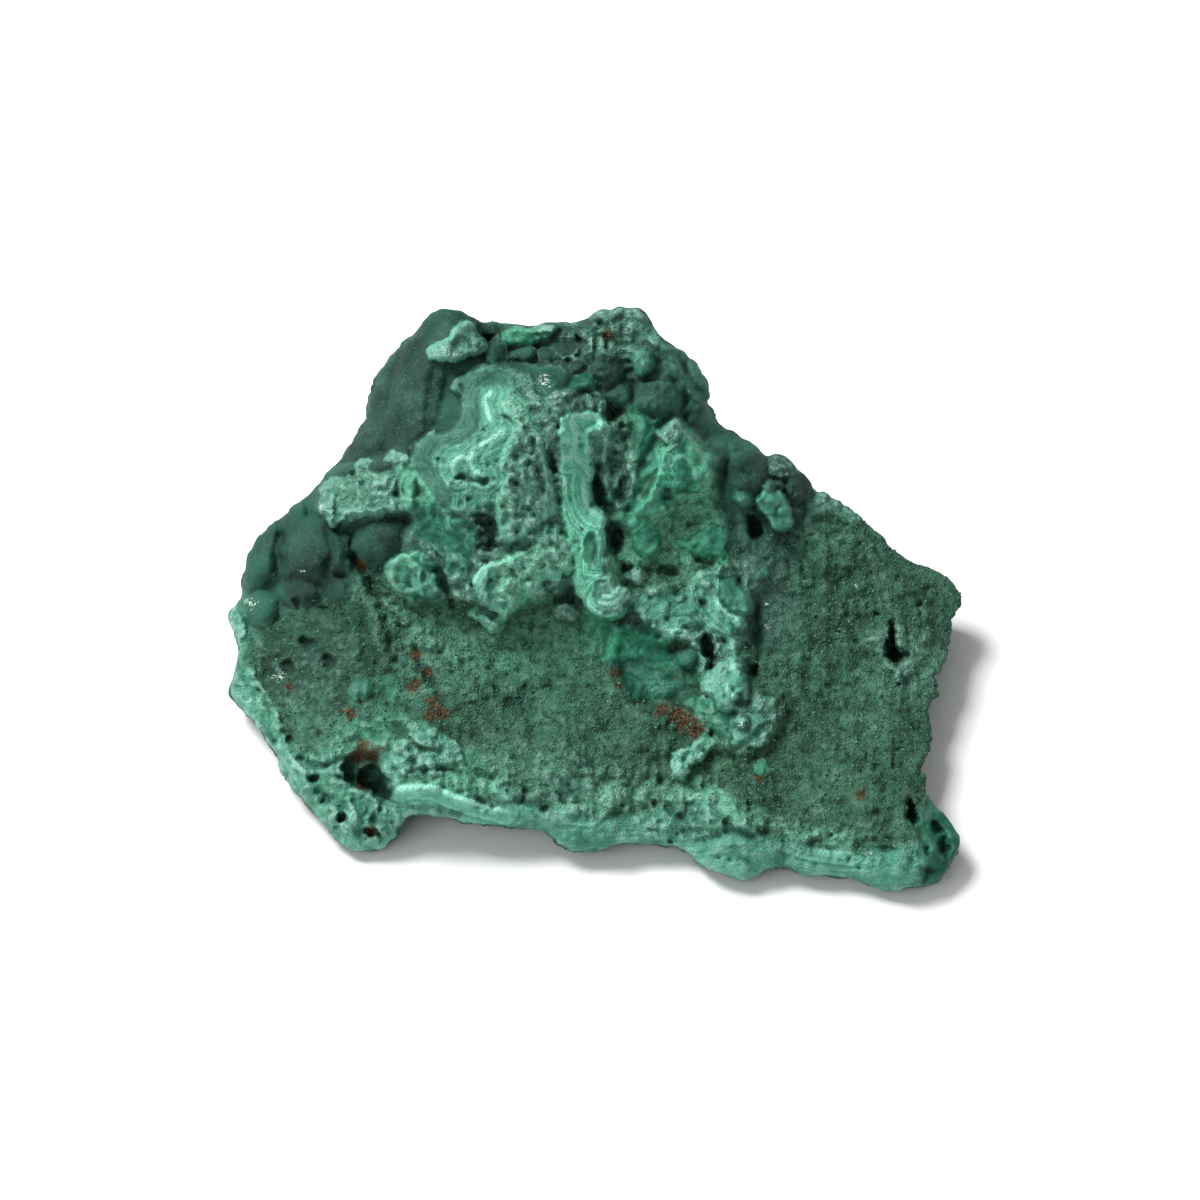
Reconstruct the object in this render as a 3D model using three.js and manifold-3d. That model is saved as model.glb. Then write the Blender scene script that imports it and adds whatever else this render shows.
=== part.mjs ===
// Malachite specimen: one broken piece of copper ore. A sloping slab of earthy matrix carries a mound
// of botryoidal malachite, with broken stubs that show the banding, round lobes, ledges and pits.
// Millimetres, +Z up. The origin is on the table, under the middle of the stone.
import * as THREE from "three";
import { mergeVertices } from "three/addons/utils/BufferGeometryUtils.js";
import Module from "manifold-3d";

// Driving dimensions.
const STONE_WIDTH = 140; // left to right
const WIDTH_PX = 731; // the same width in the photograph
const MM_PER_PX = STONE_WIDTH / WIDTH_PX;
const PHOTO_MIDDLE = 600; // middle of the 1200 px square photograph, across and down
const VIEW_ELEVATION = THREE.MathUtils.degToRad(45); // the photograph looks along +Y and down
const VIEW_DISTANCE = 900; // from the viewer to the target
const VIEW_TARGET = new THREE.Vector3(0.85, -2.5, 30); // the point in the middle of the photograph

// Spacing of the body's facets.
const SPOKES = 58;
const TOP_RINGS = 14;
const WALL_RINGS = 5;
const FLOOR_RINGS = 2;
const BODY_MIDDLE_PX = [490, 620]; // where the spokes meet on the seen side

// The unseen walls: how the foot of the wall sits against the rim above it.
const LOW_RIM_UNDERCUT = 6; // a low rim overhangs its foot
const HIGH_RIM_SPREAD = 8; // the highest rim stands on a wider foot
const HIGHEST_RIM = 66;
const WALL_BULGE = 2.5;

// Rim of the stone as the photograph outlines it: pixel across, pixel down, height above the table.
const RIM = [
  [231, 612, 13], [238, 645, 12], [230, 688, 9], [241, 709, 8], [268, 745, 7], [281, 772, 6],
  [318, 815, 5], [331, 833, 4], [362, 850, 3], [384, 846, 3.5], [397, 837, 5], [400, 824, 8],
  [413, 814, 10], [455, 818, 9], [490, 826, 8], [542, 830, 7], [560, 843, 5.5], [585, 850, 4.5],
  [630, 843, 5.5], [668, 844, 5], [690, 853, 4.5], [705, 865, 4], [742, 880, 3], [775, 866, 4.5],
  [840, 876, 3.5], [888, 890, 3], [938, 879, 4.5], [953, 862, 5.5], [959, 842, 7], [938, 808, 9],
  [926, 793, 9.5], [921, 768, 10], [931, 740, 10], [927, 712, 10.5], [935, 690, 11], [949, 640, 12],
  [948, 621, 12.5], [961, 598, 12.5], [945, 577, 13.5], [905, 561, 17], [850, 514, 24], [815, 493, 28.5],
  [787, 458, 34], [768, 454, 35], [735, 434, 40], [715, 425, 43], [707, 405, 47], [709, 390, 49],
  [688, 356, 56], [662, 342, 60], [648, 318, 64], [632, 309, 66], [605, 310, 65.5], [588, 321, 63],
  [555, 323, 61], [530, 327, 60], [480, 323, 62], [458, 311, 66], [440, 308, 66.5], [425, 314, 65.5],
  [410, 333, 62], [395, 342, 59], [378, 370, 54], [365, 403, 48], [361, 427, 45], [325, 477, 36],
  [285, 517, 28], [262, 530, 25], [243, 565, 20], [244, 590, 17],
];

// Spot heights on the seen side: pixel across, pixel down, height above the table.
const SPOTS = [
  // upper edge of the broken front face
  [398, 786, 15], [440, 781, 16.5], [480, 803, 13], [560, 810, 11.5], [620, 812, 10.5], [680, 826, 8.7],
  [740, 829, 11], [800, 845, 9], [860, 850, 9], [920, 850, 9.5],
  // earthy slab in front of the mound
  [560, 770, 16.8], [440, 742, 18.5], [640, 775, 13], [690, 780, 12.2], [740, 780, 14], [800, 790, 12], [870, 790, 13],
  [450, 700, 20], [520, 720, 17], [600, 740, 15.5], [650, 730, 16], [520, 650, 21], [450, 650, 22.5],
  [400, 680, 21], [400, 630, 25], [600, 680, 18.5], [560, 630, 23], [640, 660, 20], [700, 700, 18],
  // slab on the right, up to its back edge
  [740, 730, 15.5], [800, 730, 14], [870, 730, 13.5], [800, 650, 20], [850, 680, 14.5], [920, 690, 12],
  [800, 600, 22], [860, 610, 18], [905, 595, 18], [760, 560, 28], [820, 540, 25], [860, 560, 21],
  [720, 560, 30], [750, 500, 36], [800, 500, 30], [690, 500, 38], [700, 470, 43], [720, 450, 42],
  // front of the mound
  [560, 590, 30], [500, 600, 29], [440, 600, 28], [400, 560, 34], [450, 540, 40], [500, 540, 40],
  [550, 540, 39], [600, 540, 37], [640, 560, 33], [650, 520, 38], [450, 480, 50], [500, 470, 52],
  [550, 470, 51], [605, 465, 43], [640, 470, 46], [480, 420, 58], [520, 400, 60], [560, 400, 60],
  [600, 400, 55], [650, 430, 50], [650, 390, 55], [690, 400, 50],
  // summit
  [440, 350, 65], [500, 360, 58], [540, 350, 57], [600, 340, 61], [640, 340, 61], [680, 370, 55],
  // left flank and left end
  [420, 400, 56], [390, 400, 52], [400, 450, 49], [350, 500, 38], [390, 520, 40], [310, 520, 32],
  [320, 570, 29], [280, 560, 25], [270, 600, 19], [350, 600, 28], [370, 640, 25], [320, 650, 20],
  [270, 650, 14.5], [250, 680, 11.5], [290, 700, 15], [340, 700, 19], [310, 750, 12], [350, 740, 17],
  [370, 800, 10], [340, 815, 8], [370, 830, 7], [395, 800, 11],
];

// Broken stubs and ledges: outline in pixels, how far the flat face stands out of the slope, rounded edge.
const STUBS = {
  summitBreak: {
    outline: [[421, 347], [440, 322], [460, 318], [472, 320], [488, 341], [484, 353], [455, 363], [430, 360]],
    lift: 3, edge: 1.2,
  },
  summitLedge: { outline: [[498, 327], [550, 325], [557, 332], [550, 341], [500, 340]], lift: 3, edge: 1 },
  summitRight: {
    outline: [[580, 331], [592, 321], [604, 313], [632, 313], [645, 322], [640, 336], [612, 350], [590, 346]],
    lift: 2, edge: 1,
  },
  bandedFan: {
    outline: [
      [455, 385], [466, 375], [500, 369], [514, 377], [530, 410], [545, 455], [557, 490], [557, 514],
      [533, 530], [512, 544], [499, 538], [494, 508], [470, 518], [440, 504], [418, 472], [415, 455],
      [424, 437], [458, 425], [463, 405],
    ],
    lift: 5, edge: 1.4,
  },
  leftBar: {
    outline: [
      [319, 478], [345, 468], [365, 456], [382, 456], [394, 448], [411, 449], [413, 465], [398, 482],
      [401, 503], [396, 513], [365, 518], [340, 527], [329, 527], [318, 500],
    ],
    lift: 6, edge: 1.4,
  },
  lowerBar: {
    outline: [
      [471, 582], [486, 562], [520, 550], [545, 525], [556, 527], [578, 542], [580, 553], [573, 568],
      [545, 585], [525, 603], [508, 620], [482, 606],
    ],
    lift: 6, edge: 1.4,
  },
  centralStalk: {
    outline: [
      [548, 420], [557, 395], [577, 389], [600, 396], [603, 422], [584, 432], [582, 460], [592, 475],
      [588, 505], [601, 516], [606, 545], [604, 574], [625, 585], [632, 600], [620, 616], [600, 615],
      [580, 590], [580, 550], [560, 515], [555, 465],
    ],
    lift: 4, edge: 1.2,
  },
  wedge: {
    outline: [
      [615, 518], [633, 495], [652, 452], [672, 415], [684, 424], [709, 455], [711, 472], [698, 491],
      [668, 491], [667, 508], [632, 523],
    ],
    lift: 4, edge: 1.2,
  },
  greenNodule: {
    outline: [[383, 566], [392, 555], [412, 550], [432, 554], [446, 580], [444, 594], [410, 600], [392, 586]],
    lift: 4, edge: 1.4,
  },
  greenCluster: {
    outline: [[410, 530], [420, 512], [440, 503], [470, 518], [477, 540], [468, 558], [452, 578], [430, 548]],
    lift: 3, edge: 1.2,
  },
  midPlate: { outline: [[630, 525], [645, 520], [663, 537], [655, 555], [643, 557], [632, 547]], lift: 3, edge: 1 },
  rightPlate: {
    outline: [[675, 540], [698, 530], [712, 522], [725, 531], [727, 547], [723, 566], [700, 558], [684, 551]],
    lift: 3, edge: 1,
  },
  paleBlock: { outline: [[757, 502], [765, 482], [783, 482], [792, 522], [788, 530], [770, 530]], lift: 5, edge: 1.2 },
  lowerLedge: {
    outline: [
      [630, 600], [650, 591], [680, 593], [696, 574], [716, 570], [738, 583], [753, 610], [745, 632],
      [749, 660], [736, 660], [722, 640], [700, 628], [672, 640], [650, 628],
    ],
    lift: 4.5, edge: 1.2,
  },
  sunEye: {
    outline: [[700, 680], [718, 661], [735, 657], [750, 682], [739, 698], [740, 712], [722, 715], [706, 694]],
    lift: 6, edge: 1.2,
  },
  lowerKnob: {
    outline: [[683, 702], [702, 694], [740, 712], [757, 716], [760, 732], [749, 746], [726, 742], [700, 726]],
    lift: 4, edge: 1.4,
  },
  frontStub: { outline: [[670, 757], [690, 742], [706, 737], [715, 745], [694, 764], [690, 776], [676, 778]], lift: 3, edge: 1 },
  frontPlate: {
    outline: [[388, 762], [402, 733], [422, 718], [450, 734], [470, 760], [440, 776], [425, 783], [394, 781]],
    lift: 3, edge: 1.2,
  },
};

// Round lobes: middle in pixels, half width and half height in pixels, how far they stand out, turn in degrees.
const LOBES = {
  flankShoulder: { at: [410, 395], half: [32, 60], lift: 3.5, turn: -14 },
  flankLobe: { at: [372, 425], half: [22, 48], lift: 3, turn: -22 },
  greatLobe: { at: [308, 548], half: [40, 52], lift: 6, turn: -10 },
  edgeLobe: { at: [266, 572], half: [21, 38], lift: 4, turn: -12 },
  endLobe: { at: [266, 606], half: [20, 22], lift: 4, turn: 0 },
  velvetPad: { at: [377, 538], half: [28, 27], lift: 5, turn: 0 },
  speckledBoss: { at: [546, 386], half: [27, 20], lift: 4, turn: 20 },
  ridgedBoss: { at: [587, 386], half: [18, 15], lift: 4, turn: 30 },
  notchLobe: { at: [498, 352], half: [12, 16], lift: 3, turn: 0 },
  highBall: { at: [605, 372], half: [19, 21], lift: 5, turn: 0 },
  midBall: { at: [621, 396], half: [14, 13], lift: 5, turn: 0 },
  broadBall: { at: [659, 399], half: [27, 19], lift: 6, turn: -8 },
  shoulderBall: { at: [694, 414], half: [13, 14], lift: 4, turn: 0 },
  highNodule: { at: [643, 363], half: [12, 16], lift: 3.5, turn: 0 },
  ridgeBall: { at: [750, 474], half: [23, 26], lift: 6, turn: 0 },
  ridgeKnob: { at: [778, 468], half: [15, 14], lift: 4, turn: 0 },
  edgeKnob: { at: [799, 486], half: [13, 17], lift: 4, turn: -25 },
  greenPillar: { at: [637, 440], half: [10, 36], lift: 4, turn: 4 },
  crumbNodule: { at: [637, 577], half: [11, 11], lift: 3.5, turn: 0 },
  poolBall: { at: [690, 658], half: [15, 13], lift: 3, turn: 0 },
  leafLobe: { at: [752, 576], half: [19, 10], lift: 3, turn: 20 },
};

// Pits: outline in pixels and depth below the face around them.
const PITS = {
  leftHole: { outline: [[339, 769], [352, 757], [366, 748], [381, 758], [388, 780], [394, 799], [380, 805], [357, 790]], depth: 11 },
  rightHole: { outline: [[886, 627], [891, 619], [899, 641], [908, 657], [898, 667], [883, 657]], depth: 9 },
  cornerPit: { outline: [[926, 846], [934, 836], [945, 842], [942, 858], [930, 856]], depth: 7 },
  edgeSlit: { outline: [[903, 797], [911, 798], [917, 815], [914, 829], [906, 812]], depth: 5 },
  greatCavity: {
    outline: [[586, 432], [606, 424], [622, 420], [633, 450], [634, 482], [622, 508], [609, 500], [594, 470]],
    depth: 8,
  },
  ringHole: { outline: [[588, 492], [598, 486], [609, 493], [608, 505], [595, 508]], depth: 6 },
  stubGap: { outline: [[476, 530], [494, 520], [499, 538], [490, 553], [478, 546]], depth: 6 },
  fanHole: { outline: [[458, 476], [471, 470], [489, 478], [478, 483]], depth: 4 },
  poolHole: { outline: [[699, 640], [711, 643], [715, 655], [710, 667], [701, 664]], depth: 6 },
  ridgePit: { outline: [[746, 515], [760, 520], [763, 533], [751, 538]], depth: 5 },
  notchPit: { outline: [[479, 326], [497, 325], [500, 337], [486, 342]], depth: 5 },
};

// Lobes on the unseen wall: bearing round the stone from +X towards +Y in degrees,
// share of the way down from rim to table, radius.
const WALL_LOBES = [
  { bearing: 22, down: 0.55, radius: 7 },
  { bearing: 35, down: 0.62, radius: 10 },
  { bearing: 46, down: 0.4, radius: 7 },
  { bearing: 52, down: 0.75, radius: 13 },
  { bearing: 62, down: 0.45, radius: 9 },
  { bearing: 72, down: 0.7, radius: 15 },
  { bearing: 76, down: 0.3, radius: 8 },
  { bearing: 86, down: 0.45, radius: 10 },
  { bearing: 93, down: 0.82, radius: 12 },
  { bearing: 97, down: 0.26, radius: 9 },
  { bearing: 106, down: 0.55, radius: 14 },
  { bearing: 113, down: 0.25, radius: 8 },
  { bearing: 118, down: 0.85, radius: 11 },
  { bearing: 124, down: 0.44, radius: 12 },
  { bearing: 134, down: 0.68, radius: 15 },
  { bearing: 138, down: 0.34, radius: 8 },
  { bearing: 147, down: 0.5, radius: 9 },
  { bearing: 157, down: 0.75, radius: 11 },
  { bearing: 168, down: 0.5, radius: 6 },
];
const WALL_LOBE_PROUD = 0.35; // share of the radius that stands out of the wall

// Hollows in the underside: middle and half sizes across and along, then depth.
const FOOT_HOLLOWS = [
  { at: [-30, -14], half: [15, 11], depth: 2.5 },
  { at: [34, -20], half: [18, 9], depth: 2 },
  { at: [28, 20], half: [12, 15], depth: 2.5 },
  { at: [-32, 24], half: [14, 10], depth: 3 },
];

const STUB_ROOT = 4; // how deep a stub or lobe is rooted in the body
const PIT_MOUTH = 9; // how far a pit's cutter stands out, clear of the stubs beside it
const PIT_FLOOR = 0.5; // size of a pit at its bottom against its mouth
const LOBE_DETAIL = 2; // facets of a large round lobe
const SMALL_LOBE_DETAIL = 1;
const SMALL_LOBE_PX = 47; // a lobe with no half size above this is small
const SMOOTHING = 0.4; // how loosely the surface follows the spot heights

const malachite = new THREE.MeshStandardMaterial({ color: 0x3f7560, roughness: 0.62, metalness: 0 });

// Directions of the photograph: across, up the picture, and out towards the viewer.
const VIEW_RIGHT = new THREE.Vector3(1, 0, 0);
const VIEW_UP = new THREE.Vector3(0, Math.sin(VIEW_ELEVATION), Math.cos(VIEW_ELEVATION));
const VIEW_OUT = new THREE.Vector3(0, -Math.cos(VIEW_ELEVATION), Math.sin(VIEW_ELEVATION));

// The place of a pixel at a distance out of the plane through the target.
function pointAtDepth(across, down, depth) {
  const shrink = 1 - depth / VIEW_DISTANCE;
  return VIEW_TARGET.clone()
    .addScaledVector(VIEW_RIGHT, (across - PHOTO_MIDDLE) * MM_PER_PX * shrink)
    .addScaledVector(VIEW_UP, (PHOTO_MIDDLE - down) * MM_PER_PX * shrink)
    .addScaledVector(VIEW_OUT, depth);
}

// How far out of that plane a pixel lies when its height above the table is known.
function depthAtHeight(down, height) {
  const rise = (PHOTO_MIDDLE - down) * MM_PER_PX * VIEW_UP.z;
  return (height - VIEW_TARGET.z - rise) / (VIEW_OUT.z - rise / VIEW_DISTANCE);
}

// Solves a square set of linear equations, with the right-hand side as each row's last entry.
function solve(rows) {
  const count = rows.length;
  for (let pivot = 0; pivot < count; pivot++) {
    let best = pivot;
    for (let row = pivot + 1; row < count; row++) {
      if (Math.abs(rows[row][pivot]) > Math.abs(rows[best][pivot])) best = row;
    }
    [rows[pivot], rows[best]] = [rows[best], rows[pivot]];
    for (let row = 0; row < count; row++) {
      if (row === pivot) continue;
      const factor = rows[row][pivot] / rows[pivot][pivot];
      for (let column = pivot; column <= count; column++) rows[row][column] -= factor * rows[pivot][column];
    }
  }
  return rows.map((row, index) => row[count] / row[index]);
}

// Bending of a thin plate at a distance from a point that holds it.
function plateBend(distanceSquared) {
  return distanceSquared > 0 ? distanceSquared * Math.log(distanceSquared) : 0;
}

// A thin plate sprung over the spot heights: gives the height above the table at any pixel.
function plateOver(spots) {
  const unit = 100; // pixels, keeps the equations well scaled
  const places = spots.map(([across, down]) => [across / unit, down / unit]);
  const rows = places.map(([x, y], i) => [
    ...places.map(([px, py], j) => plateBend((x - px) ** 2 + (y - py) ** 2) + (i === j ? SMOOTHING / unit : 0)),
    1, x, y,
    spots[i][2],
  ]);
  rows.push([...places.map(() => 1), 0, 0, 0, 0]);
  rows.push([...places.map(([x]) => x), 0, 0, 0, 0]);
  rows.push([...places.map(([, y]) => y), 0, 0, 0, 0]);
  const weights = solve(rows);
  const [level, slopeX, slopeY] = weights.slice(-3);
  return (across, down) => {
    const x = across / unit;
    const y = down / unit;
    let height = level + slopeX * x + slopeY * y;
    places.forEach(([px, py], i) => {
      height += weights[i] * plateBend((x - px) ** 2 + (y - py) ** 2);
    });
    return height;
  };
}

const heightAt = plateOver([...RIM, ...SPOTS]);

// A point that stands a given way out of the slope at a pixel.
function pointOnSlope(across, down, lift) {
  return pointAtDepth(across, down, depthAtHeight(down, heightAt(across, down)) + lift);
}

// Rim of the body in space, evenly spaced, and the wall below each of its points.
const rimCurve = new THREE.CatmullRomCurve3(RIM.map((point) => new THREE.Vector3(...point)), true, "centripetal");
const rimPixels = rimCurve.getSpacedPoints(SPOKES).slice(0, SPOKES);
const walls = rimPixels.map(({ x, y, z }) => {
  const rim = pointAtDepth(x, y, depthAtHeight(y, z));
  const outward = new THREE.Vector3(rim.x, rim.y, 0).normalize();
  const tallness = rim.z / HIGHEST_RIM;
  const spread = THREE.MathUtils.lerp(-LOW_RIM_UNDERCUT, HIGH_RIM_SPREAD, tallness);
  const foot = rim.clone().setZ(0).addScaledVector(outward, spread);
  return { rim, foot, outward, bulge: WALL_BULGE * tallness };
});

// A point on a wall, from its rim (0) down to its foot (1).
function pointOnWall(wall, down) {
  return wall.rim.clone().lerp(wall.foot, down).addScaledVector(wall.outward, wall.bulge * Math.sin(Math.PI * down));
}

// Drops shading data and joins the doubled corners, so that the facets close.
function sealed(geometry) {
  geometry.deleteAttribute("normal");
  geometry.deleteAttribute("uv");
  return mergeVertices(geometry, 1e-4);
}

// The body: a sphere whose upper half takes the seen slope and whose lower half takes walls and underside.
function bodyGeometry() {
  const rings = TOP_RINGS + WALL_RINGS + FLOOR_RINGS;
  const geometry = new THREE.SphereGeometry(1, SPOKES, rings);
  const position = geometry.getAttribute("position");
  for (let ring = 0; ring <= rings; ring++) {
    for (let spoke = 0; spoke <= SPOKES; spoke++) {
      const turn = spoke % SPOKES;
      const pixel = rimPixels[turn];
      let point;
      if (ring < TOP_RINGS) {
        const reach = ring / TOP_RINGS;
        const across = THREE.MathUtils.lerp(BODY_MIDDLE_PX[0], pixel.x, reach);
        const down = THREE.MathUtils.lerp(BODY_MIDDLE_PX[1], pixel.y, reach);
        point = pointOnSlope(across, down, 0);
      } else if (ring <= TOP_RINGS + WALL_RINGS) {
        point = pointOnWall(walls[turn], (ring - TOP_RINGS) / WALL_RINGS);
      } else {
        const inward = (ring - TOP_RINGS - WALL_RINGS) / FLOOR_RINGS;
        point = walls[turn].foot.clone().multiplyScalar(1 - inward);
      }
      position.setXYZ(ring * (SPOKES + 1) + spoke, point.x, point.y, point.z);
    }
  }
  return sealed(geometry);
}

// Moves a geometry drawn over the photograph, in pixels across and down with millimetres out, onto the slope.
function drape(geometry) {
  const position = geometry.getAttribute("position");
  for (let i = 0; i < position.count; i++) {
    const point = pointOnSlope(position.getX(i), -position.getY(i), position.getZ(i));
    position.setXYZ(i, point.x, point.y, point.z);
  }
  return geometry;
}

function shapeOf(outline) {
  return new THREE.Shape(outline.map(([across, down]) => new THREE.Vector2(across, -down)));
}

function stubGeometry({ outline, lift, edge }) {
  const edgePx = edge / MM_PER_PX;
  const geometry = new THREE.ExtrudeGeometry(shapeOf(outline), {
    depth: lift + STUB_ROOT - 2 * edge,
    bevelThickness: edge,
    bevelSize: edgePx,
    bevelOffset: -edgePx,
    bevelSegments: 1,
  });
  return drape(sealed(geometry.translate(0, 0, edge - STUB_ROOT)));
}

function lobeGeometry({ at, half, lift, turn }) {
  const detail = Math.max(...half) > SMALL_LOBE_PX ? LOBE_DETAIL : SMALL_LOBE_DETAIL;
  const geometry = sealed(new THREE.IcosahedronGeometry(1, detail));
  geometry.scale(half[0], half[1], lift).rotateZ(THREE.MathUtils.degToRad(turn));
  return drape(geometry.translate(at[0], -at[1], 0));
}

function pitGeometry({ outline, depth }) {
  const geometry = sealed(new THREE.ExtrudeGeometry(shapeOf(outline), { depth: depth + PIT_MOUTH, bevelEnabled: false }));
  const middle = outline.reduce(([x, y], [across, down]) => [x + across / outline.length, y - down / outline.length], [0, 0]);
  const position = geometry.getAttribute("position");
  for (let i = 0; i < position.count; i++) {
    if (position.getZ(i) > 0) continue;
    position.setX(i, THREE.MathUtils.lerp(middle[0], position.getX(i), PIT_FLOOR));
    position.setY(i, THREE.MathUtils.lerp(middle[1], position.getY(i), PIT_FLOOR));
  }
  return drape(geometry.translate(0, 0, -depth));
}

function wallLobeGeometry({ bearing, down, radius }) {
  const aim = THREE.MathUtils.degToRad(bearing);
  const towards = new THREE.Vector3(Math.cos(aim), Math.sin(aim), 0);
  const nearest = walls.reduce((best, wall) => (wall.outward.dot(towards) > best.outward.dot(towards) ? wall : best));
  const middle = pointOnWall(nearest, down).addScaledVector(nearest.outward, radius * (WALL_LOBE_PROUD - 1));
  middle.z = Math.max(middle.z, radius);
  return sealed(new THREE.IcosahedronGeometry(1, LOBE_DETAIL)).scale(radius, radius, radius).translate(middle.x, middle.y, middle.z);
}

function hollowGeometry({ at, half, depth }) {
  return sealed(new THREE.IcosahedronGeometry(1, SMALL_LOBE_DETAIL)).scale(half[0], half[1], depth).translate(at[0], at[1], 0);
}

const wasm = await Module();
wasm.setup();

function solidOf(geometry) {
  return new wasm.Manifold(
    new wasm.Mesh({
      numProp: 3,
      vertProperties: geometry.getAttribute("position").array,
      triVerts: new Uint32Array(geometry.index.array),
    }),
  );
}

function geometryOf(solid) {
  const { vertProperties, triVerts } = solid.getMesh();
  return new THREE.BufferGeometry()
    .setAttribute("position", new THREE.BufferAttribute(vertProperties, 3))
    .setIndex(new THREE.BufferAttribute(triVerts, 1))
    .toNonIndexed();
}

let stone = solidOf(bodyGeometry());
const added = [
  ...Object.values(STUBS).map(stubGeometry),
  ...Object.values(LOBES).map(lobeGeometry),
  ...WALL_LOBES.map(wallLobeGeometry),
];
for (const geometry of added) stone = stone.add(solidOf(geometry));
const cut = [...Object.values(PITS).map(pitGeometry), ...FOOT_HOLLOWS.map(hollowGeometry)];
for (const geometry of cut) stone = stone.subtract(solidOf(geometry));

const specimenGeometry = geometryOf(stone);
specimenGeometry.computeVertexNormals();
const specimen = new THREE.Mesh(specimenGeometry, malachite);
specimen.name = "malachite";

const group = new THREE.Group();
group.add(specimen);

export default group;
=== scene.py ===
from math import atan2, cos, radians, sin
import bpy
import numpy as np
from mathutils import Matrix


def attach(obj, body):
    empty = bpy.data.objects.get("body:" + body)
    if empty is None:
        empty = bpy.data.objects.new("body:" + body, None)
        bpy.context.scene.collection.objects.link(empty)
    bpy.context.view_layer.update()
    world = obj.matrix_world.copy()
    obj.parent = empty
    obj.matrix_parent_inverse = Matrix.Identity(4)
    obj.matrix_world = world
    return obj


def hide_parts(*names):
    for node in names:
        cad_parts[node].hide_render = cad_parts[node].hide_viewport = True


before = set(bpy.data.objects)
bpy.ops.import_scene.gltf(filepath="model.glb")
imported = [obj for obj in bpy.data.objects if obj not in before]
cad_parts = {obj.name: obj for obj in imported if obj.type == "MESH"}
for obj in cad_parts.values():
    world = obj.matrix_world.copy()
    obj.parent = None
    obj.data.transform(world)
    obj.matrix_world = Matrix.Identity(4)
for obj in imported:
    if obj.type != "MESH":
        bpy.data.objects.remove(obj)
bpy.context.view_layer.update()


# sRGB hex to the linear colour that shader sockets want
def linear(hexText):
    channels = [int(hexText[i:i + 2], 16) / 255 for i in (1, 3, 5)]
    curve = [c / 12.92 if c <= 0.04045 else ((c + 0.055) / 1.055) ** 2.4 for c in channels]
    return (*curve, 1.0)


# adds one node: inputs take values, sockets or nodes, a colour ramp takes its stops
def addNode(tree, kind, inputs=None, stops=(), **settings):
    made = tree.nodes.new(kind)
    for name, value in settings.items():
        setattr(made, name, value)
    for key, value in (inputs or {}).items():
        if isinstance(value, bpy.types.Node):
            value = next(socket for socket in value.outputs if socket.enabled)
        if isinstance(value, bpy.types.NodeSocket):
            tree.links.new(value, made.inputs[key])
        else:
            made.inputs[key].default_value = value
    for count, (position, colour) in enumerate(stops):
        stop = made.color_ramp.elements[count] if count < 2 else made.color_ramp.elements.new(position)
        stop.position = position
        stop.color = linear(colour)
    return made


# the photograph looks along +Y and down; pixels and millimetres meet here
view = {
    "middle": 600,  # pixel in the middle of the square photograph
    "mmPerPixel": 140 / 731,
    "elevation": 45,
    "distance": 900,
    "target": (0.85, -2.5, 30.0),
}
millimetre = 0.001  # the scene is in metres
pixel = view["mmPerPixel"]
tilt = radians(view["elevation"])
upAxis = (0.0, sin(tilt), cos(tilt))
outAxis = (0.0, -cos(tilt), sin(tilt))


def toSpace(u, v, depth):
    shrink = 1 - depth / view["distance"]
    right = (u - view["middle"]) * pixel * shrink
    up = (view["middle"] - v) * pixel * shrink
    x = view["target"][0] + right
    y = view["target"][1] + up * upAxis[1] + depth * outAxis[1]
    z = view["target"][2] + up * upAxis[2] + depth * outAxis[2]
    return np.stack([x, y, z], -1)


def toPhoto(x, y, z):
    dx = x - view["target"][0]
    dy = y - view["target"][1]
    dz = z - view["target"][2]
    depth = dy * outAxis[1] + dz * outAxis[2]
    scale = 1 / (pixel * (1 - depth / view["distance"]))
    u = view["middle"] + dx * scale
    v = view["middle"] - (dy * upAxis[1] + dz * upAxis[2]) * scale
    return u, v, depth


def depthAtHeight(v, height):
    rise = (view["middle"] - v) * pixel * upAxis[2]
    return (height - view["target"][2] - rise) / (outAxis[2] - rise / view["distance"])


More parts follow.
